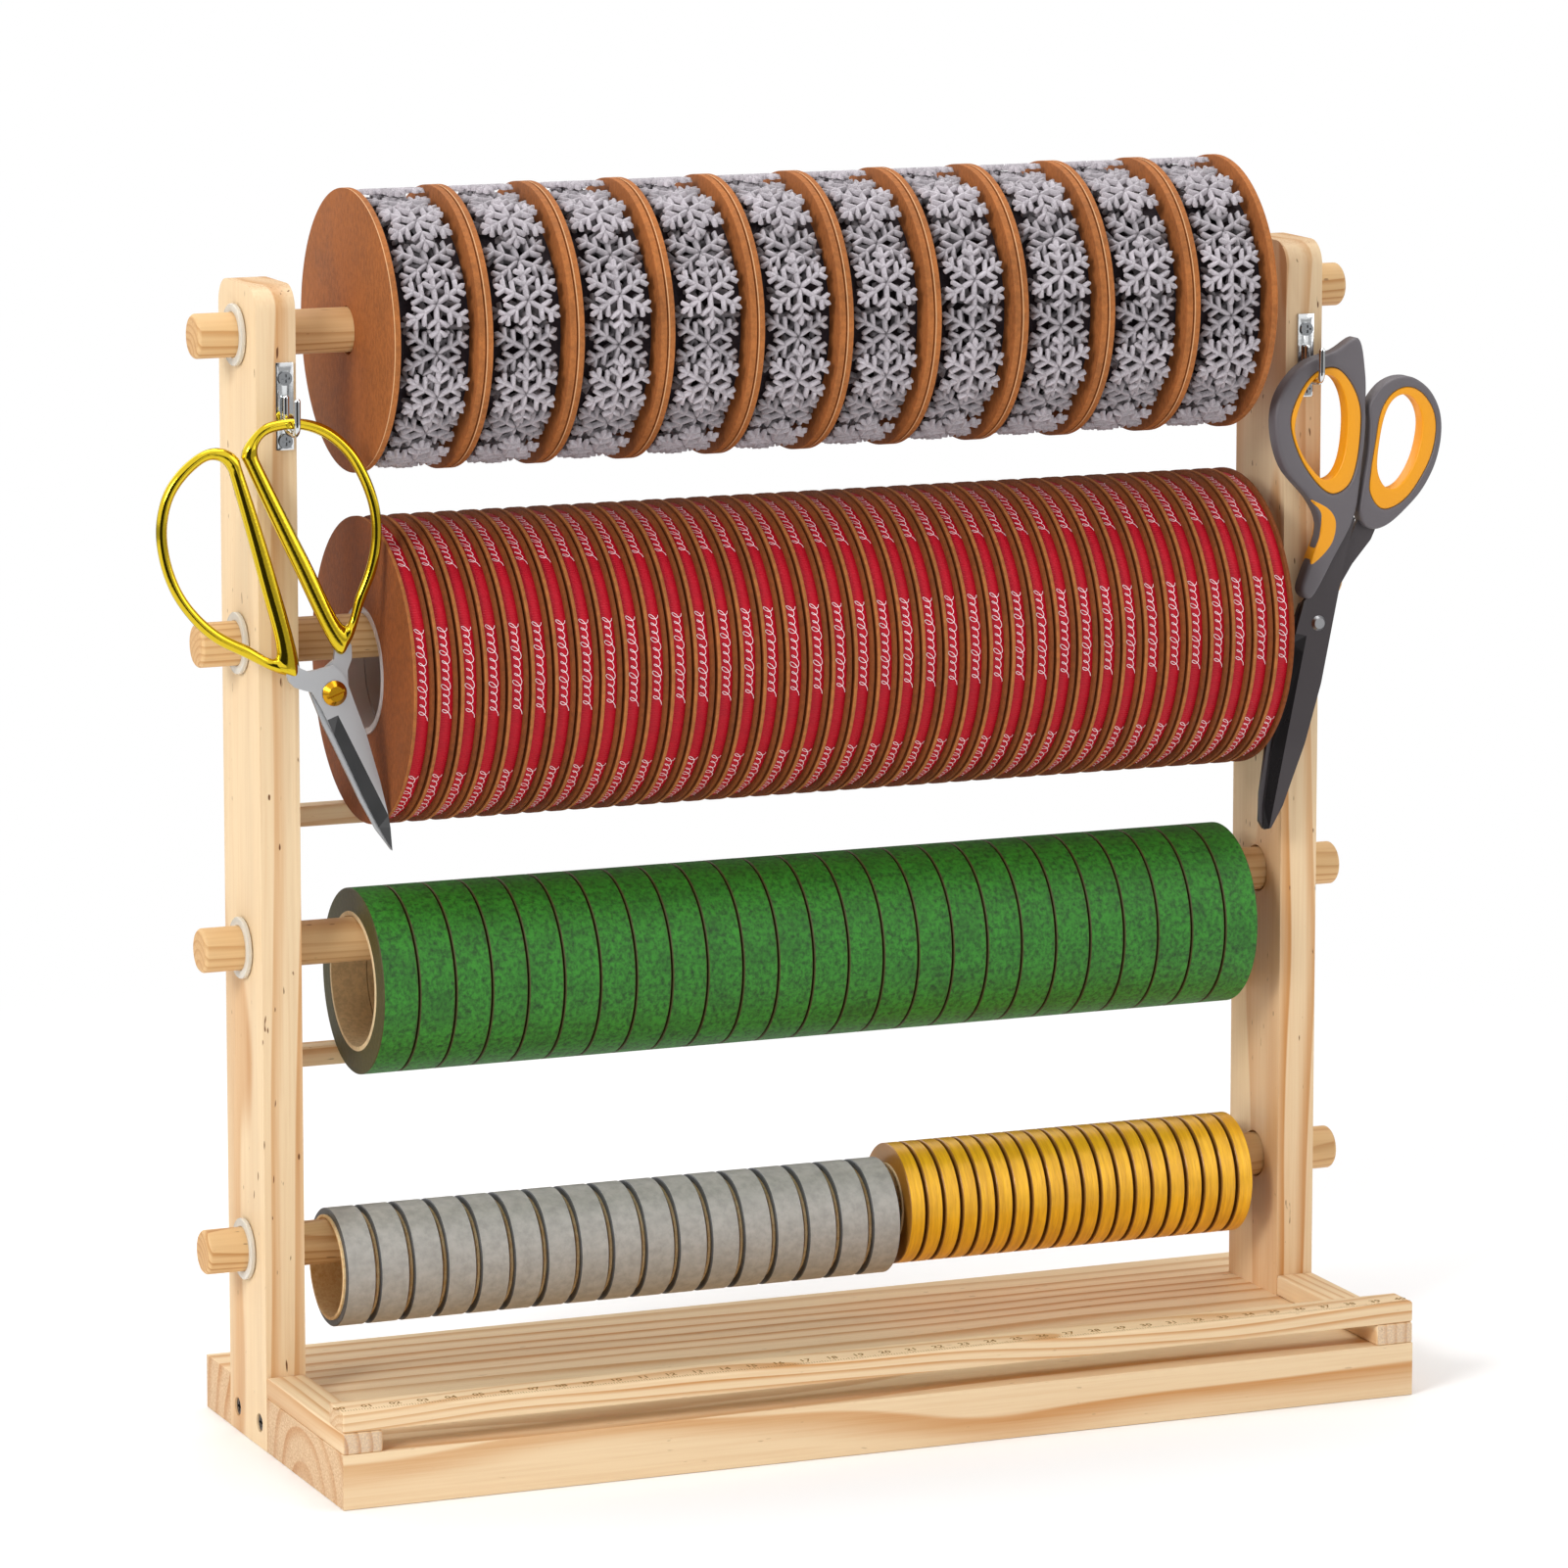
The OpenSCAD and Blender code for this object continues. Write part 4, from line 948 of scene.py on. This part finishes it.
class RACK_OT_ruler(bpy.types.Operator):
    """Millimetre ticks and centimetre numbers on the ruler rail"""
    bl_idname = "rack.ruler"
    bl_label = "Ruler marks"

    def execute(self, context):
        s = context.scene.rack_stand
        low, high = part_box("ruler_rail")
        mat = marked("Ruler ink", s.ink, 0.7, 0.3)
        lift = 0.00002
        tick = ([(-0.00012, 0, 0), (0.00012, 0, 0), (0.00012, s.tick, 0), (-0.00012, s.tick, 0)],
            [(0, 1, 2, 3)])
        count = int((high.x - low.x) / MM)
        start = Vector(((low.x + high.x) / 2 - count * MM / 2, low.y + 0.0011, high.z + lift))
        ticks = grow("Ruler_ticks", "ticks", tick, Count=count + 1, Step=MM, Start=start, Material=mat)
        settle(ticks, "stand", (), [mat])
        made = []
        for cm in range(count // 10 + 1):
            text = bpy.data.curves.new(f"Number_{cm:02d}", "FONT")
            text.body = f"{cm:02d}"
            text.size = s.digit * 1.3
            text.align_x = "CENTER"
            text.offset = 0.00008
            text.resolution_u = 2
            piece = bpy.data.objects.new(f"Number_{cm:02d}", text)
            context.scene.collection.objects.link(piece)
            piece.location = (start.x + cm * 0.01, low.y + 0.0011 + s.tick * 2.3, high.z + lift)
            made.append(piece)
        context.view_layer.update()
        verts, faces = [], []
        for piece in made:
            mesh = bpy.data.meshes.new_from_object(piece)
            faces += [tuple(len(verts) + v for v in f.vertices) for f in mesh.polygons]
            verts += [tuple(piece.matrix_world @ v.co) for v in mesh.vertices]
            bpy.data.objects.remove(piece)
        settle(new_object("Ruler_numbers", verts, faces, False), "stand", (), [mat])
        return {"FINISHED"}


# ---- Scissors ----
# Each pair is drawn in its own plane, in millimetres: X right, Z up from the pivot, blades down.

def plane_matrix(swing, tilt, hang):
    """Places a pair of scissors drawn round its pivot so that hang rests on the hook that it swings on."""
    joints = frame["record"]["behaviour"]["joints"]
    hook = next(j["pos_m"] for j in joints if j["name"] == swing)
    return (Matrix.Translation(Vector(hook)) @ Matrix.Rotation(math.radians(-tilt), 4, "Y")
            @ Matrix.Translation(Vector((-hang[0], 0, -hang[1])) * MM))


def put(name, matrix, verts, faces, angle=40):
    made = new_object(name, [matrix @ (Vector(v) * MM) for v in verts], faces)
    return tidy(made, angle)


def bow(outer, inner, half, sides=20):
    """A round bar that fills the band between two closed outlines, no thicker than half either way."""
    outside = smooth_curve(outer, 8)
    inside = smooth_curve(inner, 12)
    verts, faces = [], []
    for x, z in outside:
        near = min(inside, key=lambda p: (p[0] - x) ** 2 + (p[1] - z) ** 2)
        centre = Vector(((x + near[0]) / 2, (z + near[1]) / 2))
        reach = Vector((x - near[0], z - near[1]))
        wide = reach.length / 2
        deep = min(wide, half)
        reach.normalize()
        for s in range(sides):
            a = 2 * math.pi * s / sides
            verts.append((centre.x + reach.x * wide * math.cos(a), deep * math.sin(a),
                          centre.y + reach.y * wide * math.cos(a)))
    count = len(outside)
    for k in range(count):
        for s in range(sides):
            faces.append((k * sides + s, k * sides + (s + 1) % sides,
                          (k + 1) % count * sides + (s + 1) % sides, (k + 1) % count * sides + s))
    return verts, faces


def signed_area(loop):
    return sum(a[0] * b[1] - b[0] * a[1] for a, b in zip(loop, loop[1:] + loop[:1])) / 2


def cushion(outer, holes, half, soft, steps=5):
    """A plate with rounded edges: an outline with holes, half as thick each way, rounded by soft."""
    from mathutils.geometry import tessellate_polygon
    loops = [smooth_curve(p, 6) for p in [outer] + holes]
    loops = [lp if (signed_area(lp) > 0) == (k == 0) else lp[::-1] for k, lp in enumerate(loops)]
    profile = [(soft * (1 - math.cos(a)), half - soft * (1 - math.sin(a)))
               for a in (math.pi / 2 * k / steps for k in range(steps, -1, -1))]
    profile += [(inset, -y) for inset, y in profile[::-1]]
    verts, faces, caps = [], [], ([], [])
    for loop in loops:
        count = len(loop)
        start = len(verts)
        for inset, y in profile:
            for k, (x, z) in enumerate(loop):
                ahead, behind = loop[(k + 1) % count], loop[k - 1]
                out = Vector((ahead[1] - behind[1], behind[0] - ahead[0])).normalized()
                verts.append((x - out.x * inset, y, z - out.y * inset))
        for row in range(len(profile) - 1):
            for k in range(count):
                a, b = start + row * count + k, start + row * count + (k + 1) % count
                faces.append((a, b, b + count, a + count))
        caps[0].append(range(start, start + count))
        caps[1].append(range(start + (len(profile) - 1) * count, start + len(profile) * count))
    for cap in caps:
        index = [k for loop in cap for k in loop]
        flat = [[Vector((verts[k][0], verts[k][2], 0)) for k in loop] for loop in cap]
        faces += [tuple(index[k] for k in tri) for tri in tessellate_polygon(flat)]
    return verts, faces


def blade(name, matrix, outline, y_face, y_back, line, top, bite, side, mats):
    """A plate with one hollow-ground edge: beyond the line and below top, its outer face slopes back.

    line is two points, side is -1 or 1 for the edge's side, and bite is how far the slope falls. mats are the
    plain face's material and the slope's; settle would undo each face's choice, so they are given here.
    """
    bm = bmesh.new()
    front = [bm.verts.new((x, y_face, z)) for x, z in outline]
    back = [bm.verts.new((x, y_back, z)) for x, z in outline]
    bm.faces.new(front)
    bm.faces.new(back[::-1])
    count = len(outline)
    for k in range(count):
        bm.faces.new((front[k], front[(k + 1) % count], back[(k + 1) % count], back[k]))
    (x0, z0), (x1, z1) = line
    normal = Vector((z0 - z1, 0, x1 - x0)).normalized()
    for place, direction in ((Vector((x0, 0, z0)), normal), (Vector((0, 0, top)), Vector((0, 0, 1))),
                             (Vector((0, 0, top - 6)), Vector((0, 0, 1)))):
        bmesh.ops.bisect_plane(bm, geom=bm.verts[:] + bm.edges[:] + bm.faces[:], dist=1e-5, plane_co=place,
                               plane_no=direction)

    def beyond(p):
        at = x0 + (x1 - x0) * (p.z - z0) / (z1 - z0)
        return (p.x - at) * side

    inward = 1 if y_back > y_face else -1
    for v in bm.verts:
        if abs(v.co.y - y_face) < 1e-4 and beyond(v.co) > 0.05 and v.co.z < top - 0.1:
            v.co.y += inward * bite * min(1.0, (top - v.co.z) / 6)
    bmesh.ops.triangulate(bm, faces=bm.faces[:])
    bmesh.ops.recalc_face_normals(bm, faces=bm.faces)
    for face in bm.faces:
        c = face.calc_center_median()
        flat = abs(face.normal.y) > 0.5
        on_face = abs(c.y - y_face) < abs(c.y - y_back) or flat and face.normal.y * inward < 0
        face.material_index = int(on_face and flat and beyond(c) > 0 and c.z < top)
        face.smooth = False
    for v in bm.verts:
        v.co = matrix @ (v.co * MM)
    mesh = bpy.data.meshes.new(name)
    bm.to_mesh(mesh)
    bm.free()
    for mat in mats:
        mesh.materials.append(mat)
    made = bpy.data.objects.new(name, mesh)
    bpy.context.scene.collection.objects.link(made)
    return made


# Tilt from upright in degrees, the point that rests on the hook, and the blades' length.
GOLD_TILT, GOLD_HANG, GOLD_BLADE = 20.3, (18.1, 89.0), 60.0
GREY_TILT, GREY_HANG, GREY_BLADE = -14.9, (-24.2, 84.2), 77.0


class RACK_OT_gold_scissors(bpy.types.Operator):
    """Gold-handled scissors hanging open on the left hook"""
    bl_idname = "rack.gold_scissors"
    bl_label = "Gold scissors"

    def execute(self, context):
        s = context.scene.rack_scissors
        m = plane_matrix("gold_swing", GOLD_TILT, GOLD_HANG)
        gold = marked("Plated gold", s.plating, 0.13, 0.1, Metallic=1.0)
        steel = marked("Ground steel", s.steel, 0.42, 0.5, Metallic=0.85)
        # Painted shade: the hollow grind's steel is darkened to 0.17 of the blade steel, for the shade on its
        # slope.
        grind_shade = marked("Hollow grind", shade(s.steel, 0.17), 0.4, 0.4, Metallic=0.9)
        right_outer = [
            (5.6, 14), (12, 14), (21.6, 25), (29.5, 33.5), (35.2, 43.5), (38.2, 54), (38.4, 66), (36, 77.5),
            (30.4, 87), (22.2, 93), (12, 95.9), (4.8, 94), (-0.8, 89.5), (-0.9, 83), (2, 48)]
        right_inner = [
            (11.6, 20.6), (19.6, 28.2), (27, 36.4), (32, 45), (34.7, 54.5), (34.8, 65), (32.8, 75),
            (28, 83.6),
            (20.9, 89.5), (12, 92.2), (7, 91.2), (4.4, 87.5), (4.7, 80), (8.2, 48)]
        left_outer = [
            (-8, 13), (-14.2, 13), (-25, 24.4), (-33, 33.6), (-38, 43.6), (-40.8, 55), (-40.6, 67),
            (-37.6, 78.2), (-31.4, 87.6), (-23.4, 93.2), (-14, 95.9), (-7.2, 94.6), (-2.8, 89.8), (-2.6, 83),
            (-4.4, 48)]
        left_inner = [
            (-14, 20.2), (-22.6, 28), (-30, 36.4), (-34.7, 45.4), (-37.2, 55.4), (-37, 66.4), (-34.3, 76.4),
            (-29, 84.6), (-22, 89.6), (-14, 92.2), (-9.4, 90.8), (-7.4, 87), (-7.6, 80), (-10.5, 48)]
        for name, outer, inner, body, node in (
                ("Gold_right_bow", right_outer, right_inner, "gold_hanging_half", "gold_hanging_handle"),
                ("Gold_left_bow", left_outer, left_inner, "gold_free_half", "gold_free_handle")):
            made = put(name, m, *bow(outer, inner, 2.45), angle=60)
            settle(made, body, [node], [gold])
        reach = GOLD_BLADE
        front = [
            (-13.4, 16), (-13.6, 10.4), (-12.4, 7.6), (-9.7, 5.3), (-7.3, 3.5), (-6, -4),
            (-4.9, -reach * 0.26),
            (-3.1, -reach * 0.64), (-1.7, -reach * 0.84), (0, -reach), (2.2, -reach * 0.87),
            (4.2, -reach * 0.6),
            (5.5, -reach * 0.3), (5.5, 2.6), (4.9, 5.8), (3.1, 9.2), (-2.6, 10), (-6, 10.8), (-8.2, 13),
            (-9, 16)]
        back = [
            (6.4, 17), (10.6, 17), (12, 12.6), (10.5, 8.2), (7.6, 5), (6, 0), (5, -reach * 0.36),
            (3, -reach * 0.72), (0, -reach), (-2.6, -reach * 0.85), (-4.3, -reach * 0.66),
            (-6, -reach * 0.36),
            (-7.3, -reach * 0.15), (-7.6, 3.2), (-6, 7.6), (0, 9), (4.4, 10.4), (5.8, 13)]
        made = blade("Gold_front_blade", m, front, -1.65, -0.15, ((-1.5, -8), (2.6, -46)), -7.6, 1.0, -1,
                     (steel, grind_shade))
        settle(made, "gold_free_half", ["gold_free_blade"])
        made = blade("Gold_back_blade", m, back, 1.65, 0.15, ((1.2, -8), (0.4, -46)), -7.6, 1.0, 1,
                     (steel, grind_shade))
        settle(made, "gold_hanging_half", ["gold_hanging_blade"])
        dress("gold_pivot_screw", marked("Brass screw", s.screw, 0.2, 0.15, Metallic=1.0))
        return {"FINISHED"}


class RACK_OT_grey_scissors(bpy.types.Operator):
    """Grey and yellow handled scissors hanging open on the right hook"""
    bl_idname = "rack.grey_scissors"
    bl_label = "Grey scissors"

    def execute(self, context):
        s = context.scene.rack_scissors
        m = plane_matrix("grey_swing", GREY_TILT, GREY_HANG)
        grip = marked("Grey grip", s.grip, 0.5, 0.12, depth=0.00004)
        rubber = marked("Yellow insert", s.insert, 0.42, 0.08, depth=0.00004)
        coat = marked("Coated blade", s.coating, 0.36, 0.25, Metallic=0.55)
        # Painted shade: the grind is darkened to 0.3 of the blade coating, for the shade on its slope.
        hollow = marked("Coated grind", shade(s.coating, 0.3), 0.28, 0.2, Metallic=0.55)
        main_outer = [
            (-12.5, 103), (-20.5, 96.5), (-31.5, 89), (-37.6, 77), (-36.5, 64.5), (-29, 51.5), (-16, 42.5),
            (-9.6, 35), (-9, 26), (-10.4, 17), (-10.4, 9.6), (-5.4, 8.6), (-0.8, 24), (3.2, 40), (2, 54),
            (0, 66), (-3, 80), (-6.5, 92)]
        main_ring = [
            (-30.7, 68), (-29.8, 79.5), (-25.4, 87.6), (-18.4, 90.6), (-11.3, 86.9), (-5.4, 79.5),
            (-2.6, 70),
            (-1.2, 59), (-2.2, 51), (-7.4, 46.6), (-14.6, 49), (-24, 57)]
        main_hole = [
            (-28.9, 68), (-28, 80), (-24.4, 86), (-18.5, 87.4), (-12.9, 82.6), (-9, 74), (-6.9, 62),
            (-8, 54),
            (-12.3, 50.8), (-19.2, 54.4), (-25.6, 60.6)]
        inset = [
            (-15.6, 42.6), (-10.6, 38.6), (-8.6, 30.6), (-9.6, 20.4), (-6.4, 22.8), (-3, 29.6), (-3.6, 37),
            (-8, 41.2)]
        small_outer = [
            (-1.6, 80.6), (0, 86), (3, 90.2), (7.7, 93.2), (13.5, 93.9), (20.8, 90.9), (26.6, 84.6),
            (29.6, 76),
            (29.9, 65.6), (27.4, 55.8), (23, 47.9), (17.8, 41), (12.8, 37.7), (8.4, 38), (5.2, 42),
            (4, 49.4),
            (2.6, 63.6), (0.4, 74)]
        small_ring = [
            (5.2, 58), (7.2, 49.8), (14, 45.4), (22, 51.6), (27, 65), (27.2, 76), (24.2, 84), (18, 89.3),
            (11.4, 90.2), (5.9, 86.4), (3.4, 79), (4.2, 68)]
        small_hole = [
            (6.8, 62), (9.8, 55.5), (14.5, 53), (19.2, 57), (21.9, 66.6), (21.2, 78), (17.3, 85),
            (11.5, 87.4),
            (6.9, 84), (5.3, 76)]
        for name, body, node, slot, mat, shape in (
                ("Grey_main_grip", "grey_hanging_half", "grey_hanging_handle", "grey_grip", grip,
                 cushion(main_outer, [main_ring], 3.45, 1.5)),
                ("Grey_main_insert", "grey_hanging_half", "grey_hanging_grip", "yellow_insert", rubber,
                 cushion(main_ring, [main_hole], 3.2, 0.7)),
                ("Grey_thumb_insert", "grey_hanging_half", "grey_thumb_inset", "yellow_insert", rubber,
                 cushion(inset, [], 3.5, 0.5)),
                ("Grey_small_grip", "grey_free_half", "grey_free_handle", "grey_grip", grip,
                 cushion(small_outer, [small_ring], 3.45, 0.95)),
                ("Grey_small_insert", "grey_free_half", "grey_free_grip", "yellow_insert", rubber,
                 cushion(small_ring, [small_hole], 3.2, 0.7))):
            made = put(name, m, *shape, angle=50)
            settle(made, body, [node], [mat])
        reach = GREY_BLADE
        front = [
            (-5.4, 10.6), (-7.8, 6.6), (-8, -reach * 0.12), (-6.8, -reach * 0.4), (-5.2, -reach * 0.66),
            (-2.8, -reach * 0.9), (-0.6, -reach), (1.4, -reach * 0.985), (3.8, -reach * 0.87),
            (6.4, -reach * 0.56), (6.9, -reach * 0.27), (5.6, 0.3), (4.8, 13.5), (4, 28), (4.2, 40),
            (0.6, 36),
            (-3.4, 22)]
        back = [
            (7, 42), (15, 42), (13.5, 33.6), (8.6, 23.6), (6, 15.6), (5.2, 0), (5.8, -reach * 0.4),
            (3, -reach * 0.87), (-0.4, -reach), (-2.8, -reach * 0.97), (-5.2, -reach * 0.84),
            (-7.9, -reach * 0.55), (-8.8, -reach * 0.3), (-9, -reach * 0.12), (-8, 5), (-4, 8.4), (4.2, 22),
            (5.4, 34)]
        made = blade("Grey_front_blade", m, front, -1.95, -0.15, ((-3.4, -6), (0.6, -75)), -5.4, 1.2, -1,
                     (coat, hollow))
        settle(made, "grey_hanging_half", ["grey_hanging_blade"])
        made = blade("Grey_back_blade", m, back, 1.95, 0.15, ((0.6, -6), (0.4, -75)), -5.4, 1.2, 1,
                     (coat, hollow))
        settle(made, "grey_free_half", ["grey_free_blade"])
        dress("grey_pivot_screw", marked("Steel screw", srgb("#a3a3a5"), 0.3, 0.2, Metallic=1.0))
        return {"FINISHED"}


class RACK_OT_hooks(bpy.types.Operator):
    """Bright hook plates and wire hooks on the uprights' fronts"""
    bl_idname = "rack.hooks"
    bl_label = "Hooks"

    def execute(self, context):
        s = context.scene.rack_scissors
        chrome = marked("Nickel wire", s.wire, 0.1, 0.08, Metallic=1.0)
        for side in ("left", "right"):
            dress(f"{side}_hook", chrome)
            eased_copy(f"{side}_hook_plate", f"Plate_{side}", 0.0003, "stand", chrome)
        return {"FINISHED"}


# ---- Stage ----

class RACK_OT_stage(bpy.types.Operator):
    """Pale floor that glows white further out, soft lights and the camera"""
    bl_idname = "rack.stage"
    bl_label = "Stage"

    def execute(self, context):
        s = context.scene.rack_stage
        floor = new_object("Floor", [(-6, -6, -0.0002), (6, -6, -0.0002), (6, 6, -0.0002), (-6, 6, -0.0002)],
                           [(0, 1, 2, 3)], False)

        # Painted light: from 0.3 m out the floor fades to black and glows white instead, standing in for a
        # bright backdrop.
        def pale(t, coords):
            floor_glow = ramp(t, vector_maths(t, "LENGTH", coords["Object"]), 0.3, 0.8)
            tone = mix(t, noise(t, coords["Object"], 2.0), s.floor, (0.97, 0.97, 0.97))
            return {"Base Color": mix(t, floor_glow, tone, (0.0, 0.0, 0.0)), "Emission Strength": floor_glow}
        floor.data.materials.append(material("Floor", pale, Roughness=1.0, Specular_IOR_Level=0.0,
                                             Emission_Color=(1.0, 1.0, 1.0)))
        floor.visible_glossy = False
        context.scene.view_settings.view_transform = "Standard"
        world = context.scene.world or bpy.data.worlds.new("Studio")
        context.scene.world = world
        world.use_nodes = True
        t = world.node_tree
        t.nodes.clear()
        ahead = add(t, "ShaderNodeTexCoord").outputs["Generated"]
        part = add(t, "ShaderNodeSeparateXYZ", {0: ahead}).outputs
        ray = add(t, "ShaderNodeLightPath").outputs
        soft = mix(t, ramp(t, part["Z"], -0.3, 0.9), (0.36, 0.34, 0.32), (0.52, 0.52, 0.53))
        rise = ramp(t, maths(t, "ABSOLUTE", plus(t, part["Z"], 0.03)), 0.42, 0.56)
        aside = maths(t, "ABSOLUTE", vector_maths(t, "DOT_PRODUCT", ahead, (0.922, -0.387, 0.0)))
        band = ramp(t, maths(t, "ABSOLUTE", plus(t, part["Z"], 0.12)), 0.05, 0.16, 0.4, 1.0)
        card = times(t, maths(t, "MAXIMUM", ramp(t, aside, 0.42, 0.56), rise), band)
        gleam = mix(t, card, (0.03, 0.03, 0.03), (1.15, 1.15, 1.15))
        tone = mix(t, ray["Is Glossy Ray"], soft, gleam)
        tone = mix(t, ray["Is Camera Ray"], tone, (1.0, 1.0, 1.0))
        air = add(t, "ShaderNodeBackground", {"Color": tone, "Strength": 1.0})
        add(t, "ShaderNodeOutputWorld", {"Surface": air.outputs[0]})
        for name, place, power, size in (("Key", (-2.4, -1.4, 1.6), 50, 1.0),
                ("Fill", (1.9, -1.6, 1.1), 9, 1.4),
                                         ("Top", (0.2, 0.3, 2.3), 26, 1.6),
                                         ("Back", (-0.6, 2.0, 1.4), 8, 1.4)):
            light = bpy.data.lights.new(name, "AREA")
            light.energy = power
            light.size = size
            made = bpy.data.objects.new(name, light)
            made.location = place
            made.rotation_euler = (Vector((0, 0, 0.2)) - Vector(place)).to_track_quat("-Z", "Y").to_euler()
            context.scene.collection.objects.link(made)
        camera = bpy.data.cameras.new("Camera")
        camera.lens = s.lens
        camera.sensor_width = 36
        camera.shift_y = -0.125
        made = bpy.data.objects.new("Camera", camera)
        made.location = s.eye
        made.rotation_euler = (math.pi / 2 - s.tip, 0, -s.turn)
        context.scene.collection.objects.link(made)
        context.scene.camera = made
        return {"FINISHED"}


class RACK_PT_panel(bpy.types.Panel):
    bl_label = "Ribbon Rack"
    bl_space_type = "VIEW_3D"
    bl_region_type = "UI"
    bl_category = "Ribbon Rack"

    def draw(self, context):
        for group_name in GROUP_SLOTS:
            box = self.layout.box()
            settings = getattr(context.scene, group_name)
            for key in settings.__annotations__:
                box.prop(settings, key)
        for operator in OPERATORS:
            self.layout.operator(operator.bl_idname)


GROUP_SLOTS = {"rack_stand": RackStand, "rack_rolls": RackRolls, "rack_scissors": RackScissors,
               "rack_stage": RackStage}
OPERATORS = (RACK_OT_boards, RACK_OT_rods, RACK_OT_trim, RACK_OT_ribbon, RACK_OT_tapes, RACK_OT_ruler,
             RACK_OT_hooks, RACK_OT_gold_scissors, RACK_OT_grey_scissors, RACK_OT_stage)


def register():
    for made in (*GROUP_SLOTS.values(), *OPERATORS, RACK_PT_panel):
        bpy.utils.register_class(made)
    for name, made in GROUP_SLOTS.items():
        setattr(bpy.types.Scene, name, bpy.props.PointerProperty(type=made))


def unregister():
    for name in GROUP_SLOTS:
        delattr(bpy.types.Scene, name)
    for made in (*GROUP_SLOTS.values(), *OPERATORS, RACK_PT_panel):
        bpy.utils.unregister_class(made)


def main():
    register()
    for operator in OPERATORS:
        getattr(bpy.ops.rack, operator.bl_idname.split(".")[1])()


if __name__ == "__main__":
    main()
